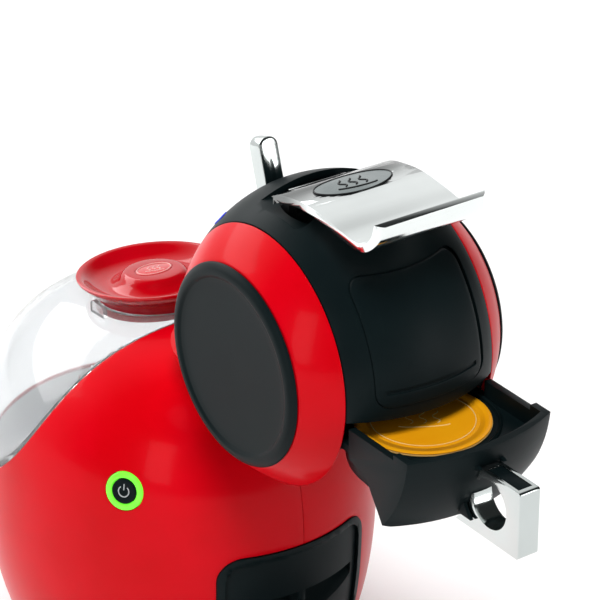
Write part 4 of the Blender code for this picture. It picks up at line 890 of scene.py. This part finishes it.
# ---------------------------------------------------------------- tray, button
def tray():
    low, high = (Vector(v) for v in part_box("drip_tray"))
    r = (high.x - low.x) / 2
    centre = Vector((0, low.y + r, 0))
    bottom, top = low.z, high.z
    grid_low, grid_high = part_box("drip_grid")[0][2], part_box("drip_grid")[1][2]
    wall = smooth_line([(r, top - 0.0006), (r - 0.0006, bottom + 0.009), (r - 0.0030, bottom)], 6)
    profile = [(r - 0.0008, top)] + wall + [(0.0, bottom), (0.0, bottom + WALL),
                                            (r - 0.0052, bottom + WALL),
                                            (r - 0.0038, grid_low - 0.0003),
                                            (r - 0.0022, grid_low - 0.0003), (r - 0.0022, top)]
    dish = turned("dish", profile, Matrix.Translation(centre), 160)
    hooks = [box("hook", (min(s * 0.0078, s * 0.0240), centre.y + r - 0.011, bottom + 0.0004),
                 (max(s * 0.0078, s * 0.0240), high.y, bottom + 0.0054)) for s in (-1, 1)]
    dish = join(dish, *hooks)
    dress(soften(dish, 0.0004, 3), "drip_tray", "black", "tray", "black_satin", "drip_tray")
    grid_r = r - 0.0022 - GAP
    grid = rod("grid", centre + Vector((0, 0, grid_low)), centre + Vector((0, 0, grid_high)),
               grid_r, 160)
    slots = []
    for i in range(-5, 6):
        x = i * 0.0078
        reach = math.sqrt((r - 0.0085) ** 2 - x ** 2)
        slots.append(box("slot", (x - 0.0022, centre.y - reach, 0.0), (x + 0.0022, centre.y + reach,
                                                                      0.2), 2, 0.002))
    grid = soften(cut(grid, *slots), 0.0004, 3)
    dress(grid, "drip_grid", "black", "grid", "black_satin", "drip_grid")


def button_pose():
    point = Vector((BUTTON_X, 0, BUTTON_Z))
    point.y = egg_front(point.x, point.z)
    rho = math.hypot(point.x / EGG_HALF, (point.y - BODY_Y) / EGG_DEEP)
    side = rho ** (CROWN_POWER - 2)
    rise = ((point.z - WAIST_Z) / RISE) ** (CROWN_POWER - 1) / RISE
    out = Vector((side * point.x / EGG_HALF ** 2, side * (point.y - BODY_Y) / EGG_DEEP ** 2,
                  rise)).normalized()
    right = Vector((-out.y, out.x, 0)).normalized()
    up = out.cross(right)
    turn = Matrix((right, up, out)).transposed().to_4x4()
    return Matrix.Translation(point) @ turn


def power_button():
    pose = button_pose()
    cap = turned("cap", [(0.0, 0.0002), (0.0030, 0.0003), (BUTTON_R - 0.0006, 0.0005),
                         (BUTTON_R, 0.0), (BUTTON_R, -0.0060), (0.0, -0.0060)], pose, 96)
    dress(soften(cap, 0.0002), "power_button", "black", "button", "black_satin", "power_button")
    lens = turned("lens", [(BUTTON_R + GAP, 0.0001), (BUTTON_R + 0.0007, 0.0004),
                           (LENS_R - 0.0006, 0.0003), (LENS_R, -0.0002), (LENS_R, -0.0048),
                           (BUTTON_R + GAP, -0.0048)], pose, 96)
    dress(soften(lens, 0.0002), "button_lens", "green", "housing", "green_light", "button_lens")
    ring = [pose @ Vector((0.0023 * math.sin(a), 0.0023 * math.cos(a), 0.0003))
            for a in (math.radians(38 + 284 * k / 12) for k in range(13))]
    tube("power_icon_ring", ring, 0.00026, "icon", "button", "black_satin")
    bar = [pose @ Vector((0, y, 0.0003)) for y in (0.0006, 0.0018, 0.0032)]
    tube("power_icon_bar", bar, 0.00026, "icon", "button", "black_satin")


# ---------------------------------------------------------------- pieces kept from the frame
def paint_frame():
    """Better materials on the frame's own solids, which are mostly inside."""
    by_slot = {"dark_plastic": "dark", "white_plastic": "white", "steel": "steel",
               "cast_heater": "cast", "rubber": "rubber", "clear_tank": "clear", "board": "board",
               "black_satin": "black", "red_gloss": "red", "chrome": "chrome"}
    slots = {part["node"]: part["material_slot"] for part in frame["record"]["subparts"]}
    for name, made in frame["nodes"].items():
        if not made.material_slots:
            made.data.materials.append(None)
        for place in made.material_slots:
            place.link = "OBJECT"
            place.material = KIT[by_slot.get(slots.get(name), "dark")]


# ---------------------------------------------------------------- studio
def studio():
    bpy.ops.mesh.primitive_plane_add(size=12)
    floor = bpy.context.object
    floor.name = "floor"
    made, tree, shader = nodes_of("floor_white")
    tint(tree, shader, noise(tree, 2, 2), (0.93, 0.93, 0.93), (0.95, 0.95, 0.95))
    shader.inputs["Roughness"].default_value = 0.8
    shader.inputs["Specular IOR Level"].default_value = 0.2
    floor.data.materials.append(made)
    backdrop()
    sun = bpy.data.lights.new("sun", "SUN")
    sun.energy = 2.5
    sun.angle = math.radians(24)
    point("sun", sun, (-0.35, -0.38, 1.2), (0, 0, 0)).visible_glossy = False
    lamp("back_panel", (-0.5, 1.7, 1.25), (0, 0.05, 0.18), (2.2, 1.0), 22)
    lamp("left_panel", (-1.6, -0.9, 0.9), (0, 0, 0.16), (0.5, 1.2), 5)
    lamp("right_panel", (1.15, -1.95, 0.45), (0, 0, 0.24), (0.7, 0.8), 7)
    bpy.context.scene.view_settings.view_transform = "Standard"


def backdrop():
    """Dark surroundings with a bright wall behind the machine."""
    world = bpy.data.worlds.new("studio")
    world.use_nodes = True
    tree = world.node_tree
    where = tree.nodes.new("ShaderNodeTexCoord")
    split = tree.nodes.new("ShaderNodeSeparateXYZ")
    link(tree, where, "Generated", split, "Vector")
    ramp = tree.nodes.new("ShaderNodeValToRGB")
    ramp.color_ramp.elements[0].position = 0.25
    ramp.color_ramp.elements[0].color = (0.03, 0.032, 0.032, 1)
    ramp.color_ramp.elements[1].position = 0.60
    ramp.color_ramp.elements[1].color = (1, 1, 1, 1)
    link(tree, split, "Y", ramp, "Fac")
    link(tree, ramp, "Color", tree.nodes["Background"], "Color")
    tree.nodes["Background"].inputs["Strength"].default_value = 0.9
    bpy.context.scene.world = world


def lamp(name, spot, aim, size, power):
    data = bpy.data.lights.new(name, "AREA")
    data.shape = "RECTANGLE"
    data.size, data.size_y = size
    data.energy = power
    point(name, data, spot, aim)


def point(name, data, spot, aim):
    made = bpy.data.objects.new(name, data)
    bpy.context.scene.collection.objects.link(made)
    made.location = spot
    made.rotation_euler = (Vector(aim) - Vector(spot)).to_track_quat("-Z", "Y").to_euler()
    return made


def camera():
    """The photograph's view: 35 degrees round to the left, 28 above, a long lens."""
    turn, lift = math.radians(35.43), math.radians(27.83)
    toward = Vector((-math.sin(turn) * math.cos(lift), -math.cos(turn) * math.cos(lift),
                     math.sin(lift)))
    right = Vector((math.cos(turn), -math.sin(turn), 0))
    up = toward.cross(right)
    data = bpy.data.cameras.new("camera")
    data.lens = 194.7
    data.sensor_width = 36
    data.clip_end = 50
    made = bpy.data.objects.new("camera", data)
    bpy.context.scene.collection.objects.link(made)
    spot = HEAD + toward * 1.28076 + right * -0.01502 + up * 0.01174
    made.matrix_world = Matrix.Translation(spot) @ Matrix((right, up, toward)).transposed().to_4x4()
    bpy.context.scene.camera = made


KIT = make_materials()
camera()
studio()
paint_frame()
side_shells()
neck()
ladder()
base()
tank()
tank_lid()
head_band()
visor()
rings_and_caps()
lock_handle()
selector()
drawer()
pod()
grip()
tray()
power_button()
